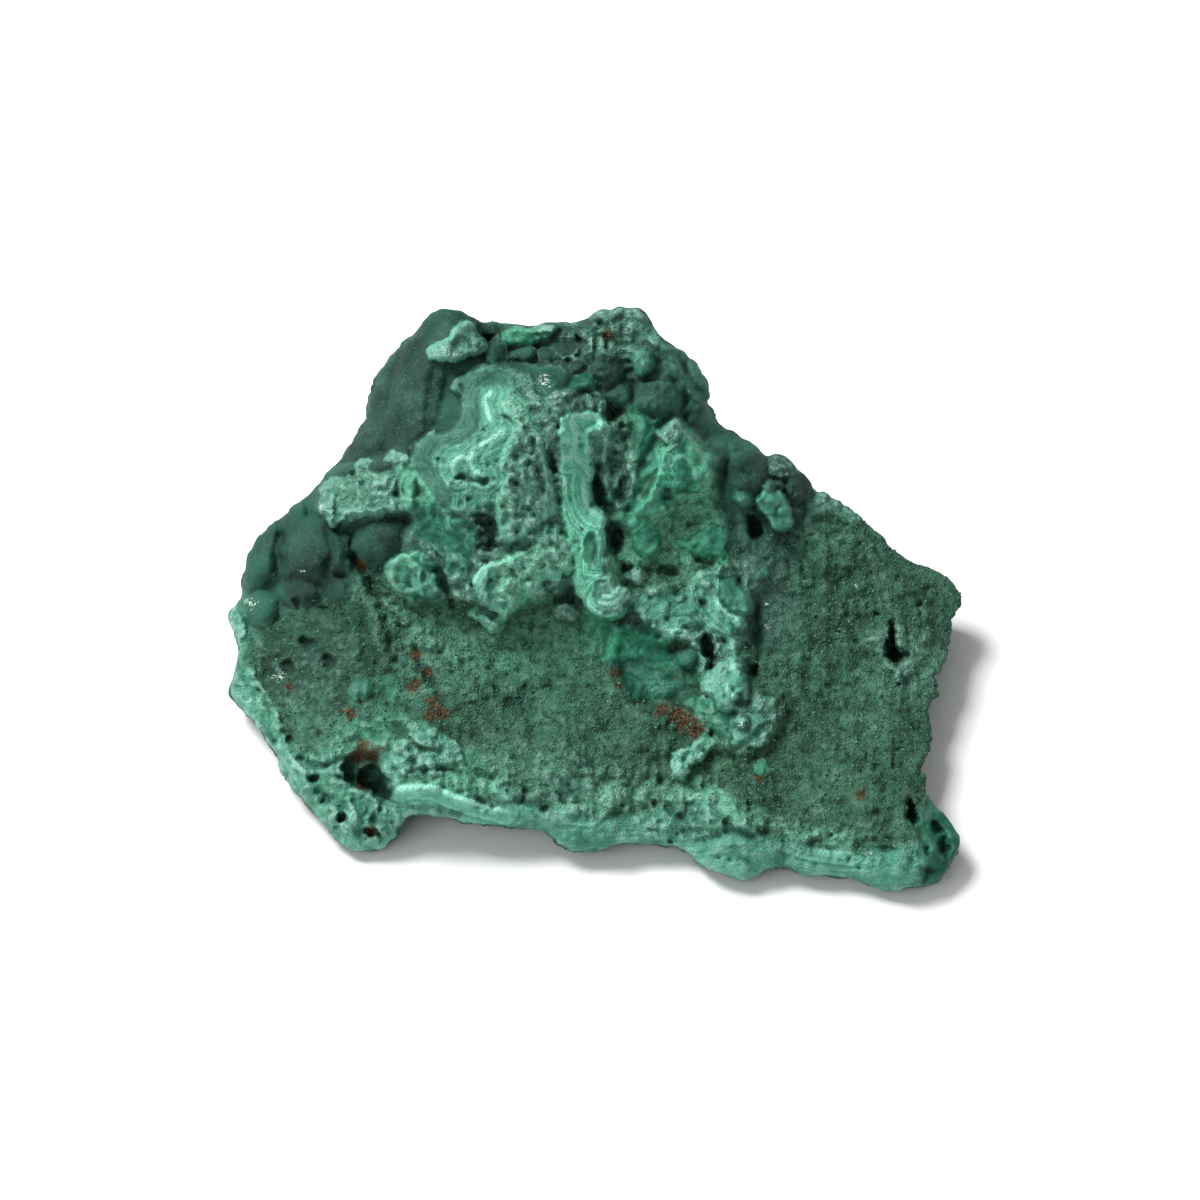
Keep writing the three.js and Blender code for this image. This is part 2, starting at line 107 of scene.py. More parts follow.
# rim of the stone: pixel across, pixel down, height above the table
rim = [
    (231, 612, 13), (238, 645, 12), (230, 688, 9), (241, 709, 8), (268, 745, 7), (281, 772, 6),
    (298, 797, 5.5), (318, 815, 5), (331, 833, 4), (345, 846, 3.4), (362, 850, 3), (384, 846, 3.5),
    (397, 837, 5), (400, 824, 8), (413, 814, 10), (455, 818, 9), (490, 826, 8), (542, 830, 7),
    (560, 843, 5.5), (585, 850, 4.5), (630, 843, 5.5), (668, 844, 5), (690, 853, 4.5), (705, 865, 4),
    (742, 880, 3), (758, 875, 3.5), (775, 866, 4.5), (800, 874, 4), (840, 876, 3.5), (868, 885, 3.2),
    (888, 890, 3), (920, 886, 3.6), (938, 879, 4.5), (953, 862, 5.5), (959, 842, 7), (950, 822, 8.2),
    (938, 808, 9), (926, 793, 9.5), (921, 768, 10), (931, 740, 10), (927, 712, 10.5), (935, 690, 11),
    (946, 660, 11.5), (949, 640, 12), (948, 621, 12.5), (958, 611, 12.5), (961, 598, 12.5),
    (945, 577, 13.5), (925, 567, 15), (905, 561, 17), (878, 535, 20.5), (850, 514, 24), (832, 498, 26.5),
    (815, 493, 28.5), (800, 472, 31.5), (787, 458, 34), (768, 454, 35), (750, 443, 37.8), (735, 434, 40),
    (715, 425, 43), (707, 405, 47), (709, 390, 49), (702, 373, 52.5), (688, 356, 56), (662, 342, 60),
    (648, 318, 64), (632, 309, 66), (605, 310, 65.5), (588, 321, 63), (571, 324, 61.6), (555, 323, 61),
    (530, 327, 60), (480, 323, 62), (472, 318, 64), (458, 311, 66), (440, 308, 66.5), (425, 314, 65.5),
    (410, 333, 62), (395, 342, 59), (378, 370, 54), (365, 403, 48), (361, 427, 45), (345, 450, 40.5),
    (325, 477, 36), (303, 498, 32), (285, 517, 28), (262, 530, 25), (250, 550, 22), (243, 565, 20),
    (244, 590, 17), (234, 604, 14.5),
]
# edge of the stone as seen, with its small notches
edge = [
    (409, 339), (416, 331), (422, 321), (429, 313), (437, 309), (445, 308), (459, 312), (470, 317),
    (476, 321), (486, 321), (507, 322), (530, 325), (552, 322), (566, 321), (571, 323), (588, 317),
    (595, 313), (603, 310), (635, 309), (641, 311), (648, 316), (653, 322), (662, 339), (680, 351),
    (690, 359), (702, 373), (709, 390), (709, 398), (707, 404), (714, 420), (727, 430), (745, 439),
    (758, 449), (768, 456), (776, 453), (783, 455), (797, 467), (811, 483), (818, 491), (826, 491),
    (844, 502), (864, 516), (881, 534), (892, 550), (909, 559), (926, 566), (937, 571), (953, 581),
    (961, 597), (959, 608), (949, 620), (948, 630), (948, 640), (944, 660), (935, 677), (936, 694),
    (930, 702), (928, 715), (932, 741), (925, 763), (920, 768), (930, 777), (928, 793), (939, 799),
    (949, 811), (960, 829), (962, 841), (953, 860), (940, 878), (922, 886), (888, 890), (868, 884),
    (845, 876), (815, 876), (800, 875), (790, 869), (775, 867), (752, 878), (741, 881), (727, 874),
    (703, 867), (690, 854), (668, 846), (635, 843), (615, 845), (590, 852), (565, 847), (545, 833),
    (538, 830), (508, 827), (475, 823), (445, 818), (420, 814), (410, 815), (400, 824), (397, 830),
    (398, 836), (385, 846), (368, 851), (352, 851), (336, 842), (326, 828), (312, 812), (300, 796),
    (282, 775), (277, 755), (264, 736), (253, 720), (244, 712), (234, 697), (231, 688), (235, 670),
    (239, 650), (239, 642), (235, 631), (230, 620), (231, 611), (243, 596), (244, 587), (243, 578),
    (249, 559), (257, 540), (267, 531), (280, 522), (286, 516), (291, 509), (303, 498), (318, 483),
    (322, 476), (335, 465), (352, 443), (364, 426), (367, 416), (372, 398), (378, 377), (390, 358),
    (399, 349),
]
# spot heights on the seen side
spots = [
    (398, 786, 15), (440, 781, 16.5), (480, 803, 13), (560, 810, 11.5), (620, 812, 10.5), (680, 826, 8.7),
    (740, 829, 11), (800, 845, 9), (860, 850, 9), (920, 850, 9.5),
    (560, 770, 16.8), (440, 742, 18.5), (640, 775, 13), (690, 780, 12.2), (740, 780, 14), (800, 790, 12),
    (870, 790, 13), (450, 700, 20), (520, 720, 17), (600, 740, 15.5), (650, 730, 16), (520, 650, 21),
    (450, 650, 22.5), (400, 680, 21), (400, 630, 25), (600, 680, 18.5), (560, 630, 23), (640, 660, 20),
    (700, 700, 18), (740, 730, 15.5), (800, 730, 14), (870, 730, 13.5), (800, 650, 20), (850, 680, 14.5),
    (920, 690, 12), (800, 600, 22), (860, 610, 18), (905, 595, 18), (760, 560, 28), (820, 540, 25),
    (860, 560, 21), (720, 560, 30), (750, 500, 36), (800, 500, 30), (690, 500, 38), (700, 470, 43),
    (720, 450, 42),
    (560, 590, 30), (500, 600, 29), (440, 600, 28), (400, 560, 34), (450, 540, 40), (500, 540, 40),
    (550, 540, 39), (600, 540, 37), (640, 560, 33), (650, 520, 38), (450, 480, 50), (500, 470, 52),
    (550, 470, 51), (605, 465, 43), (640, 470, 46), (480, 420, 58), (520, 400, 60), (560, 400, 60),
    (600, 400, 55), (650, 430, 50), (650, 390, 55), (690, 400, 50),
    (440, 350, 65), (500, 360, 58), (540, 350, 57), (600, 340, 61), (640, 340, 61), (680, 370, 55),
    (420, 400, 56), (390, 400, 52), (400, 450, 49), (350, 500, 38), (390, 520, 40), (310, 520, 32),
    (320, 570, 29), (280, 560, 25), (270, 600, 19), (350, 600, 28), (370, 640, 25), (320, 650, 20),
    (270, 650, 14.5), (250, 680, 11.5), (290, 700, 15), (340, 700, 19), (310, 750, 12), (350, 740, 17),
    (370, 800, 10), (340, 815, 8), (370, 830, 7), (395, 800, 11),
]


# a thin plate sprung over the spot heights
def plateOver(points, looseness=0.004):
    table = np.array(points, float)
    places = table[:, :2] / 100
    count = len(table)
    gap = ((places[:, None] - places[None]) ** 2).sum(-1)
    system = np.zeros((count + 3, count + 3))
    system[:count, :count] = gap * np.log(np.maximum(gap, 1e-12)) + looseness * np.eye(count)
    system[:count, count] = 1
    system[:count, count + 1:] = places
    system[count:, :count] = system[:count, count:].T
    weights = np.linalg.solve(system, np.concatenate([table[:, 2], np.zeros(3)]))

    def height(u, v):
        x = u / 100
        y = v / 100
        total = weights[count] + weights[count + 1] * x + weights[count + 2] * y
        for (px, py), weight in zip(places, weights):
            gap = (x - px) ** 2 + (y - py) ** 2
            total = total + weight * gap * np.log(np.maximum(gap, 1e-12))
        return total
    return height


# closed or open curve through hand-set points
def curveThrough(points, closed=True, cuts=6):
    ring = np.array(points, float)
    if closed:
        padded = np.concatenate([ring[-1:], ring, ring[:2]])
    else:
        padded = np.concatenate([2 * ring[:1] - ring[1:2], ring, 2 * ring[-1:] - ring[-2:-1]])
    t = np.linspace(0, 1, cuts, endpoint=False)[:, None]
    pieces = []
    for a, b, c, d in zip(padded, padded[1:], padded[2:], padded[3:]):
        bend = 2 * b + (c - a) * t + (2 * a - 5 * b + 4 * c - d) * t ** 2
        bend = bend + (3 * b - a - 3 * c + d) * t ** 3
        pieces.append(bend / 2)
    if not closed:
        pieces.append(ring[-1:])
    return np.concatenate(pieces)


# pixels from a run of points, and inside or out of a closed one
def distanceTo(curve, u, v, closed=True):
    ends = np.roll(curve, -1, 0) if closed else curve[1:]
    starts = curve if closed else curve[:-1]
    nearest = np.full(u.shape, 1e9)
    inside = np.zeros(u.shape, bool)
    for (ax, ay), (bx, by) in zip(starts[:, :2], ends[:, :2]):
        ex = bx - ax
        ey = by - ay
        share = np.clip(((u - ax) * ex + (v - ay) * ey) / max(ex * ex + ey * ey, 1e-9), 0, 1)
        nearest = np.minimum(nearest, (u - ax - share * ex) ** 2 + (v - ay - share * ey) ** 2)
        if closed and ay != by:
            crosses = (ay > v) != (by > v)
            inside ^= crosses & (u < ex * (v - ay) / ey + ax)
    nearest = np.sqrt(nearest)
    return np.where(inside, nearest, -nearest) if closed else nearest


def smoothStep(low, high, value):
    t = np.clip((value - low) / (high - low), 0, 1)
    return t * t * (3 - 2 * t)


def softMin(a, b, blend):
    h = np.clip(0.5 + 0.5 * (b - a) / blend, 0, 1)
    return b * (1 - h) + a * h - blend * h * (1 - h)


# repeatable value noise in space, about -1 to 1
randomTable = np.random.default_rng(29).uniform(-1, 1, 4096).astype(np.float32)


def scramble(i, j, k):
    return (i * 73856093 ^ j * 19349663 ^ k * 83492791) & 4095


def noiseAt(points, size, octaves=1, seed=0):
    total = np.zeros(len(points))
    strength = 1.0
    for octave in range(octaves):
        place = points / (size / 2 ** octave) + seed * 17.3 + octave * 31.7
        base = np.floor(place).astype(np.int64)
        part = place - base
        part = part * part * (3 - 2 * part)
        value = 0
        for corner in np.ndindex(2, 2, 2):
            weight = np.prod(np.where(corner, part, 1 - part), -1)
            value = value + weight * randomTable[scramble(*(base + corner).T)]
        total += strength * value
        strength *= 0.5
    return total


# distance to the nearest of scattered cell centres, in cell sizes
def cellsAt(points, size, seed=0):
    place = points / size + seed * 11.1
    base = np.floor(place).astype(np.int64)
    nearest = np.full(len(points), 9.0)
    for shift in np.ndindex(3, 3, 3):
        cell = base + np.array(shift) - 1
        jitter = [randomTable[scramble(*(cell + 57 * axis).T)] for axis in (1, 2, 3)]
        centre = cell + 0.5 + 0.42 * np.stack(jitter, -1)
        nearest = np.minimum(nearest, np.linalg.norm(place - centre, axis=1))
    return nearest


# sheet of pixels that the seen side is carved on
sheetStep = 1.0
sheetAcross = np.arange(210, 985, sheetStep)
sheetDown = np.arange(290, 910, sheetStep)
sheetU, sheetV = np.meshgrid(sheetAcross, sheetDown)
heightAt = plateOver(rim + spots)
baseDepth = depthAtHeight(sheetV, heightAt(sheetU, sheetV))
rimCurve = curveThrough(rim, cuts=5)
rimDistance = distanceTo(curveThrough(edge, cuts=3), sheetU, sheetV) * pixel
print("spot heights", len(rim) + len(spots), "sheet", sheetU.shape)

finishes = ("earth", "velvet", "green", "banded", "coarse", "pale", "grey")
lift = np.zeros(sheetU.shape)
sheet = {name: np.zeros(sheetU.shape) for name in finishes + ("phase", "seam", "rust", "glint", "pitShade")}
sheet["earth"][:] = 1
sheet["shade"] = np.ones(sheetU.shape)
sheet["line"] = np.full(sheetU.shape, 9.0)
sheetPlaces = np.stack([sheetU.ravel(), sheetV.ravel(), 0 * sheetU.ravel()], -1)


# noise over the sheet, its size in pixels
def sheetNoise(size, octaves, seed, knobbly=False):
    if not knobbly:
        return noiseAt(sheetPlaces, size, octaves, seed).reshape(sheetU.shape)
    layers = [np.abs(noiseAt(sheetPlaces, size / 2 ** k, 1, seed + k)) * 0.5 ** k for k in range(octaves)]
    return sum(layers).reshape(sheetU.shape) * 2 - 0.9


ragged = sheetNoise(13, 3, 3)
frayed = sheetNoise(4.5, 2, 9)
swell = sheetNoise(60, 3, 5)
teeth = smoothStep(890, 915, sheetU) * smoothStep(600, 630, sheetV) * smoothStep(830, 800, sheetV)
rimDistance += (0.2 + 0.3 * teeth) * ragged + (0.15 + 0.5 * teeth) * frayed


# the part of the sheet round some points
def around(points, margin):
    low = np.min(np.array(points)[:, :2], 0) - margin
    high = np.max(np.array(points)[:, :2], 0) + margin
    rows = slice(np.searchsorted(sheetDown, low[1]), np.searchsorted(sheetDown, high[1]))
    columns = slice(np.searchsorted(sheetAcross, low[0]), np.searchsorted(sheetAcross, high[0]))
    return rows, columns


# pixels from a curve over that part
def reachOn(part, curve, closed=True):
    return distanceTo(curve, sheetU[part], sheetV[part], closed)


# brings a map up to the given values where it is lower
def atLeast(name, part, values):
    sheet[name][part] = np.maximum(sheet[name][part], values)


# lays a finish over what is there, with its shade: own tone, with painted light and painted shade mixed in
def paint(part, weight, finish, shade=1.0):
    for name in finishes:
        sheet[name][part] *= 1 - weight
    sheet[finish][part] += weight
    sheet["shade"][part] += weight * (shade - sheet["shade"][part])


# rims that more than one ground covers
leftRim = [
    (228, 600), (246, 640), (250, 690), (280, 712), (292, 755), (335, 752), (350, 728), (400, 715),
    (398, 790), (402, 840), (340, 855), (270, 765), (222, 690),
]
frontRim = [
    (388, 786), (440, 781), (480, 803), (560, 811), (628, 815), (664, 804), (674, 818), (689, 835),
    (754, 828), (785, 838), (810, 847), (850, 854), (888, 849), (920, 842), (962, 838), (950, 895),
    (740, 890), (560, 858), (400, 832),
]
# broad grounds before the lumps: outline, finish, shade (own tone, with painted light and painted shade
# where the lamps leave a part too dark or too bright), softness in pixels, millimetres up or down, share
grounds = [
    ([(225, 640), (225, 560), (285, 500), (345, 430), (385, 330), (440, 295), (560, 318), (640, 295),
      (700, 350), (725, 425), (780, 440), (830, 490), (790, 530), (740, 545), (700, 470), (660, 425),
      (600, 400), (520, 410), (460, 440), (405, 460), (405, 520), (370, 570), (330, 600), (300, 640),
      (260, 650)], "velvet", 1.0, 8, 0, 1),
    ([(472, 402), (476, 376), (510, 368), (560, 388), (600, 392), (606, 425), (592, 450), (592, 500),
      (606, 520), (612, 580), (630, 598), (612, 612), (592, 604), (576, 584), (545, 596), (510, 614),
      (475, 606), (445, 596), (402, 594), (386, 575), (402, 545), (408, 512), (330, 522), (324, 492),
      (352, 478), (408, 458), (448, 438)], "coarse", 0.85, 4, 5.0, 1),
    ([(625, 400), (650, 418), (675, 412), (712, 455), (712, 480), (668, 510), (632, 527), (612, 520),
      (630, 490), (636, 455)], "green", 0.85, 4, 3.6, 1),
    # olive patch, its shade raised well past its own tone: painted light in the shadow of the wedge
    ([(640, 520), (690, 490), (714, 470), (724, 520), (720, 570), (700, 585), (645, 590), (612, 585),
      (612, 545)], "earth", 2.5, 6, 2.0, 1),
    ([(628, 600), (650, 588), (690, 574), (730, 565), (762, 570), (750, 600), (742, 655), (750, 690),
      (778, 705), (762, 745), (720, 747), (690, 728), (700, 690), (690, 650), (660, 637)],
     "coarse", 0.9, 4, 3.4, 1),
    ([(520, 322), (590, 325), (600, 352), (585, 378), (540, 366), (485, 362), (478, 330)],
     "coarse", 0.4, 6, -1.0, 0.9),
    ([(338, 609), (352, 604), (367, 620), (369, 662), (350, 668), (340, 650)], "green", 0.7, 7, 0.2, 0.9),
    ([(586, 318), (606, 304), (640, 304), (664, 340), (652, 352), (640, 336), (606, 330), (592, 340)],
     "coarse", 0.62, 5, 0.6, 0.7),
    ([(590, 330), (606, 322), (632, 324), (648, 344), (640, 356), (612, 356), (596, 350)],
     "coarse", 0.78, 7, -0.6, 0.8),
    ([(266, 662), (285, 650), (318, 640), (322, 660), (304, 684), (284, 690), (268, 680)],
     "velvet", 0.45, 9, -0.6, 0.85),
    ([(744, 556), (775, 560), (795, 590), (786, 640), (764, 645), (756, 600)], "grey", 1.1, 16, -0.5, 0.6),
    ([(392, 604), (440, 610), (462, 650), (430, 680), (400, 650)], "coarse", 0.95, 20, 0, 0.45),
    ([(470, 730), (500, 722), (560, 716), (600, 730), (560, 742), (500, 745)], "earth", 0.72, 12, -0.4, 1),
    ([(380, 676), (398, 682), (396, 700), (384, 706), (376, 694)], "green", 0.95, 6, 0.4, 0.7),
    ([(692, 792), (715, 786), (738, 800), (742, 814), (712, 818), (696, 808)], "pale", 1.35, 7, 0.2, 0.8),
    ([(668, 800), (690, 800), (740, 815), (760, 828), (700, 838), (680, 828)], "pale", 0.9, 6, 0.2, 0.6),
    (leftRim, "pale", 1.05, 10, 0.4, 1),
    (leftRim, "green", 1.1, 14, 0, 0.45),
    (frontRim, "pale", 0.95, 5, 0.1, 1),
    (frontRim, "banded", 0.9, 5, 0.1, 0.6),
    ([(500, 728), (560, 726), (610, 745), (640, 772), (610, 805), (540, 805), (490, 790)],
     "coarse", 0.72, 24, 0.4, 0.5),
    ([(862, 640), (880, 612), (905, 610), (936, 640), (930, 690), (880, 690)],
     "coarse", 0.8, 18, 0.3, 0.55),
    ([(922, 800), (945, 800), (965, 840), (940, 890), (915, 868), (920, 835)], "green", 0.72, 8, 0, 1),
    ([(580, 616), (600, 622), (626, 628), (655, 634), (668, 650), (700, 650), (694, 690), (684, 703),
      (655, 709), (640, 706), (625, 682), (614, 662), (594, 656), (582, 640)], "green", 0.92, 4, -1.4, 1),
    ([(655, 668), (690, 664), (698, 684), (684, 702), (660, 700)], "green", 0.52, 5, 0.7, 1),
    # pool middle lightened, painted light where it lies in shadow; next, pool low darkened, painted shade
    # where it catches the light
    ([(622, 626), (644, 622), (664, 636), (666, 654), (642, 660), (624, 652)], "green", 1.7, 6, 0, 1),
    ([(620, 664), (642, 660), (660, 666), (658, 692), (644, 706), (628, 694)], "green", 0.6, 6, 0, 1),
    # painted light on the pool's shadowed left end
    ([(581, 614), (600, 620), (618, 634), (619, 656), (600, 658), (584, 642)], "green", 2.4, 5, 0.8, 1),
    ([(430, 745), (470, 752), (505, 775), (500, 800), (450, 790), (425, 775)], "pale", 1.75, 12, 0.3, 0.7),
    ([(560, 790), (640, 785), (700, 775), (690, 800), (630, 812), (560, 808)],
     "coarse", 1.65, 10, 0.2, 0.6),
    ([(730, 812), (800, 820), (860, 835), (800, 845), (754, 830)], "coarse", 1.85, 9, 0.1, 0.6),
    ([(262, 640), (300, 620), (345, 640), (350, 690), (310, 700), (268, 690)],
     "coarse", 0.42, 16, -0.2, 0.75),
    ([(272, 634), (296, 622), (326, 628), (330, 648), (300, 650), (276, 652)], "velvet", 0.4, 7, 0, 0.8),
    # cavity lightened: painted light in the stalk's shadow
    ([(586, 434), (606, 424), (622, 420), (631, 436), (635, 460), (634, 482), (622, 509), (611, 505),
      (602, 488), (592, 470)], "coarse", 1.2, 3, 3.0, 1),
    ([(820, 500), (850, 506), (900, 552), (935, 570), (900, 590), (850, 556)], "earth", 0.95, 8, 1.2, 0.5),
    ([(500, 680), (560, 676), (600, 700), (650, 735), (640, 755), (590, 750), (520, 735)],
     "earth", 0.85, 18, -0.2, 0.9),
    ([(280, 600), (330, 598), (372, 612), (380, 660), (350, 700), (300, 702), (270, 690), (262, 650)],
     "earth", 0.5, 14, 0, 0.6),
    # floor lightened: painted light over the shadow at the foot of the raised masses
    ([(400, 588), (446, 598), (470, 616), (520, 612), (560, 602), (600, 640), (560, 668), (480, 668),
      (420, 642)], "earth", 1.75, 14, 0.3, 0.8),
    # skyline velvet darkened: painted shade where the lamp from behind lights the ridge
    ([(476, 314), (520, 316), (590, 310), (592, 330), (530, 334), (480, 332)], "velvet", 0.7, 4, 0.8, 0.7),
    ([(404, 350), (424, 314), (448, 308), (438, 326), (424, 346), (414, 372)], "velvet", 0.62, 5, 0, 1),
    # right flank lightened: painted light on a flank that faces away from the lamp
    ([(652, 334), (690, 350), (714, 385), (716, 424), (762, 446), (752, 462), (704, 432), (684, 392),
      (664, 360)], "velvet", 2.3, 6, 1.6, 0.85),
    ([(790, 462), (830, 490), (862, 512), (856, 524), (820, 506), (786, 478)], "coarse", 1.1, 5, 0, 0.8),
    # gap between bar eye and fan lightened: painted light in its shadow
    ([(398, 470), (420, 462), (440, 490), (436, 505), (410, 510), (400, 500)], "green", 1.3, 5, 1.5, 0.8),
    ([(645, 566), (700, 560), (705, 585), (645, 592)], "earth", 1.5, 5, -0.4, 0.9),
    ([(398, 520), (412, 508), (420, 530), (414, 560), (400, 566)], "velvet", 0.6, 4, -0.5, 0.7),
    # floor lightened: painted light in the shadow of the front stub
    ([(690, 745), (722, 740), (735, 760), (710, 785), (690, 780)], "earth", 1.5, 6, 0.2, 0.8),
    ([(640, 700), (672, 700), (698, 714), (700, 738), (680, 738), (655, 722)], "earth", 0.8, 6, -0.6, 1),
]
for outline, finish, shade, soft, raised, share in grounds:
    loop = curveThrough(outline)
    part = around(loop, 25)
    reach = reachOn(part, loop) + soft * (0.7 * ragged[part] + 0.5 * swell[part])
    weight = smoothStep(-soft, soft, reach)
    paint(part, weight * share, finish, shade)
    lift[part] += raised * smoothStep(-3 * soft, 1.5 * soft, reach)
rimEdge = curveThrough([(388, 786), (440, 781), (480, 803), (560, 811), (628, 815), (664, 804), (689, 835),
                        (754, 828), (810, 847), (888, 849), (950, 838)], closed=False)
part = around(rimEdge, 60)
sheet["phase"][part] = 4 + reachOn(part, rimEdge, closed=False) * pixel

# broken stubs and ledges: outline, how far out, rounded edge, finish, shade (own tone, with painted light
# and painted shade mixed in), guide of the bands
stubs = {
    "summitBreak": ([(424, 350), (432, 342), (445, 336), (452, 326), (466, 320), (474, 325), (480, 335),
                     (489, 341), (489, 349), (470, 357), (455, 364), (440, 364), (428, 360)],
                    3.4, 1.2, "coarse", 1.15, None),
    "bandedFan": ([(453, 388), (458, 378), (467, 374), (482, 370), (500, 369), (513, 376), (521, 392),
                   (531, 410), (541, 432), (546, 456), (556, 482), (558, 514), (545, 522), (533, 530),
                   (512, 544), (500, 540), (497, 520), (492, 508), (470, 518), (450, 514), (438, 503),
                   (430, 490), (417, 472), (414, 455), (421, 441), (438, 430), (460, 424), (464, 405)],
                  6, 0.9, "banded", 0.76, [(500, 369), (480, 370), (464, 376), (455, 388), (465, 402),
                   (462, 424), (440, 430), (421, 441), (414, 456), (420, 476), (435, 500)]),
    "fanCore": ([(497, 392), (512, 386), (522, 398), (531, 411), (541, 433), (546, 457), (556, 483),
                 (558, 513), (545, 521), (533, 529), (512, 543), (501, 539), (498, 520), (494, 500),
                 (500, 478), (496, 455), (505, 435), (512, 425), (499, 415)],
                7, 0.9, "coarse", 1.25, None),
    "leftBar": ([(318, 487), (324, 477), (345, 468), (365, 456), (382, 456), (394, 448), (411, 449),
                 (413, 463), (400, 480), (400, 503), (396, 513), (380, 514), (365, 518), (350, 518),
                 (340, 527), (330, 528), (321, 515)], 7.2, 1.0, "coarse", 0.88, None),
    "barEnd": ([(319, 487), (329, 480), (336, 492), (342, 512), (347, 521), (338, 527), (330, 527),
                (322, 515)], 8, 1.5, "pale", 1.0, None),
    "barEye": ([(398, 480), (405, 469), (415, 472), (420, 484), (419, 500), (409, 513), (402, 506)],
               8.4, 1.2, "green", 1.0, []),
    "lowerBar": ([(470, 582), (476, 570), (487, 561), (505, 554), (520, 550), (533, 540), (545, 525),
                  (556, 527), (566, 537), (579, 543), (580, 553), (572, 560), (576, 570), (560, 579),
                  (545, 585), (537, 595), (525, 603), (512, 613), (507, 621), (494, 612), (482, 606),
                  (476, 595)], 7, 1.0, "coarse", 1.65, None),
    "barLobe": ([(471, 584), (477, 570), (488, 563), (495, 572), (494, 590), (492, 606), (482, 604),
                 (476, 594)], 8, 2.0, "banded", 0.95, [(468, 590), (476, 568), (490, 560)]),
    "barBelow": ([(470, 606), (490, 612), (506, 622), (498, 634), (484, 630), (468, 618)],
                 2.5, 1.0, "coarse", 1.35, None),
    # the stalk's high shade is painted light: it lies in the fan's shadow
    "centralStalk": ([(556, 434), (563, 416), (577, 410), (600, 414), (606, 425), (590, 432), (586, 448),
                      (590, 462), (597, 474), (592, 490), (595, 506), (607, 517), (606, 530), (607, 547),
                      (605, 574), (614, 583), (626, 586), (633, 600), (620, 618), (600, 617), (582, 603),
                      (572, 584), (574, 562), (568, 538), (562, 515), (560, 490), (558, 463)],
                     6.4, 1.0, "banded", 2.15, [(603, 419), (583, 429), (581, 448), (584, 462),
                      (591, 476), (587, 492), (592, 508), (604, 520), (607, 547), (605, 574), (622, 584)]),
    "stalkFan": ([(596, 578), (612, 582), (628, 590), (632, 602), (620, 614), (602, 612), (592, 596)],
                 7, 1.2, "banded", 0.42, [(632, 578), (634, 590)]),
    "wedge": ([(615, 518), (624, 510), (640, 499), (653, 475), (661, 452), (668, 430), (675, 415),
               (684, 424), (694, 440), (709, 455), (712, 470), (700, 480), (698, 491), (685, 491),
               (668, 491), (668, 508), (650, 516), (632, 523)], 5.2, 0.9, "green", 1.25, [(618, 516),
               (636, 504), (660, 475), (681, 455), (694, 468), (698, 486)]),
    "wedgeTop": ([(656, 438), (664, 424), (675, 414), (684, 424), (680, 440), (668, 452)],
                 6, 1.2, "coarse", 1.0, None),
    "greenNodule": ([(383, 566), (392, 555), (410, 550), (430, 553), (440, 566), (446, 582), (444, 594),
                     (432, 601), (410, 600), (395, 590), (388, 578)], 5.2, 1.2, "green", 0.76, []),
    "greenCluster": ([(410, 530), (418, 514), (432, 505), (442, 503), (458, 513), (472, 521), (478, 540),
                      (470, 556), (460, 566), (452, 578), (443, 562), (430, 548)],
                     4.8, 1.2, "green", 0.85, []),
    "clusterTip": ([(444, 556), (458, 551), (468, 564), (461, 575), (450, 578)],
                   4.4, 1.0, "pale", 1.3, None),
    "midPlate": ([(630, 527), (644, 520), (658, 529), (664, 538), (656, 554), (643, 558), (633, 548)],
                 3, 0.9, "green", 1.35, None),
    "rightPlate": ([(675, 540), (688, 538), (699, 530), (712, 522), (725, 531), (728, 547), (723, 566),
                    (711, 560), (700, 559), (684, 551)], 3, 0.8, "green", 1.35, None),
    "paleBlock": ([(757, 502), (765, 487), (782, 486), (788, 504), (793, 522), (788, 531), (770, 530),
                   (763, 517)], 5, 0.9, "green", 1.22, None),
    "blockCap": ([(762, 490), (766, 479), (784, 479), (786, 490), (774, 493)],
                 5.6, 1.4, "velvet", 0.9, None),
    "lowerLedge": ([(628, 602), (645, 592), (665, 591), (682, 592), (696, 574), (716, 570), (726, 581),
                    (740, 584), (753, 602), (750, 614), (739, 630), (740, 652), (735, 661), (730, 655),
                    (722, 640), (712, 632), (700, 628), (684, 632), (674, 641), (664, 635), (652, 628),
                    (638, 620)], 4.5, 1.1, "banded", 0.86, [(712, 588), (720, 606), (742, 621)]),
    "ledgeFace": ([(717, 583), (728, 578), (742, 586), (755, 604), (752, 616), (738, 617), (724, 608)],
                  5.4, 0.9, "green", 0.8, None),
    "sunEye": ([(700, 680), (711, 668), (719, 660), (735, 656), (745, 669), (751, 682), (748, 692),
                (738, 699), (741, 711), (722, 716), (712, 700), (703, 692)], 6, 1.1, "banded", 1.02,
               [(738, 680), (739, 681)]),
    "lowerKnob": ([(684, 704), (700, 694), (715, 701), (740, 711), (757, 714), (762, 728), (756, 740),
                   (746, 747), (728, 743), (714, 735), (700, 726)], 4, 1.6, "green", 0.72, [(706, 704),
                   (707, 705)]),
    "knobFlare": ([(754, 698), (764, 694), (777, 706), (768, 722), (756, 722)],
                  2.4, 1.0, "coarse", 0.74, None),
    # the high shade is painted light on the stub's shadowed lower side
    "frontStub": ([(670, 757), (690, 743), (706, 734), (718, 740), (706, 757), (694, 765), (690, 776),
                   (674, 778)], 3.4, 0.9, "pale", 1.55, None),
    "summitPlate": ([(500, 331), (512, 326), (530, 328), (546, 324), (558, 330), (552, 339), (536, 344),
                     (518, 348), (505, 343)], 2.4, 0.9, "green", 1.3, None),
    "plateEnd": ([(538, 334), (546, 326), (557, 330), (551, 339), (541, 341)],
                 3.2, 0.8, "pale", 1.25, None),
    "rimLip": ([(396, 792), (410, 786), (436, 781), (450, 792), (474, 806), (500, 810), (505, 820),
                (470, 816), (430, 806), (404, 804)], 1.6, 1.4, "banded", 1.2, [(398, 790), (436, 783),
                (474, 807), (500, 812)]),
}
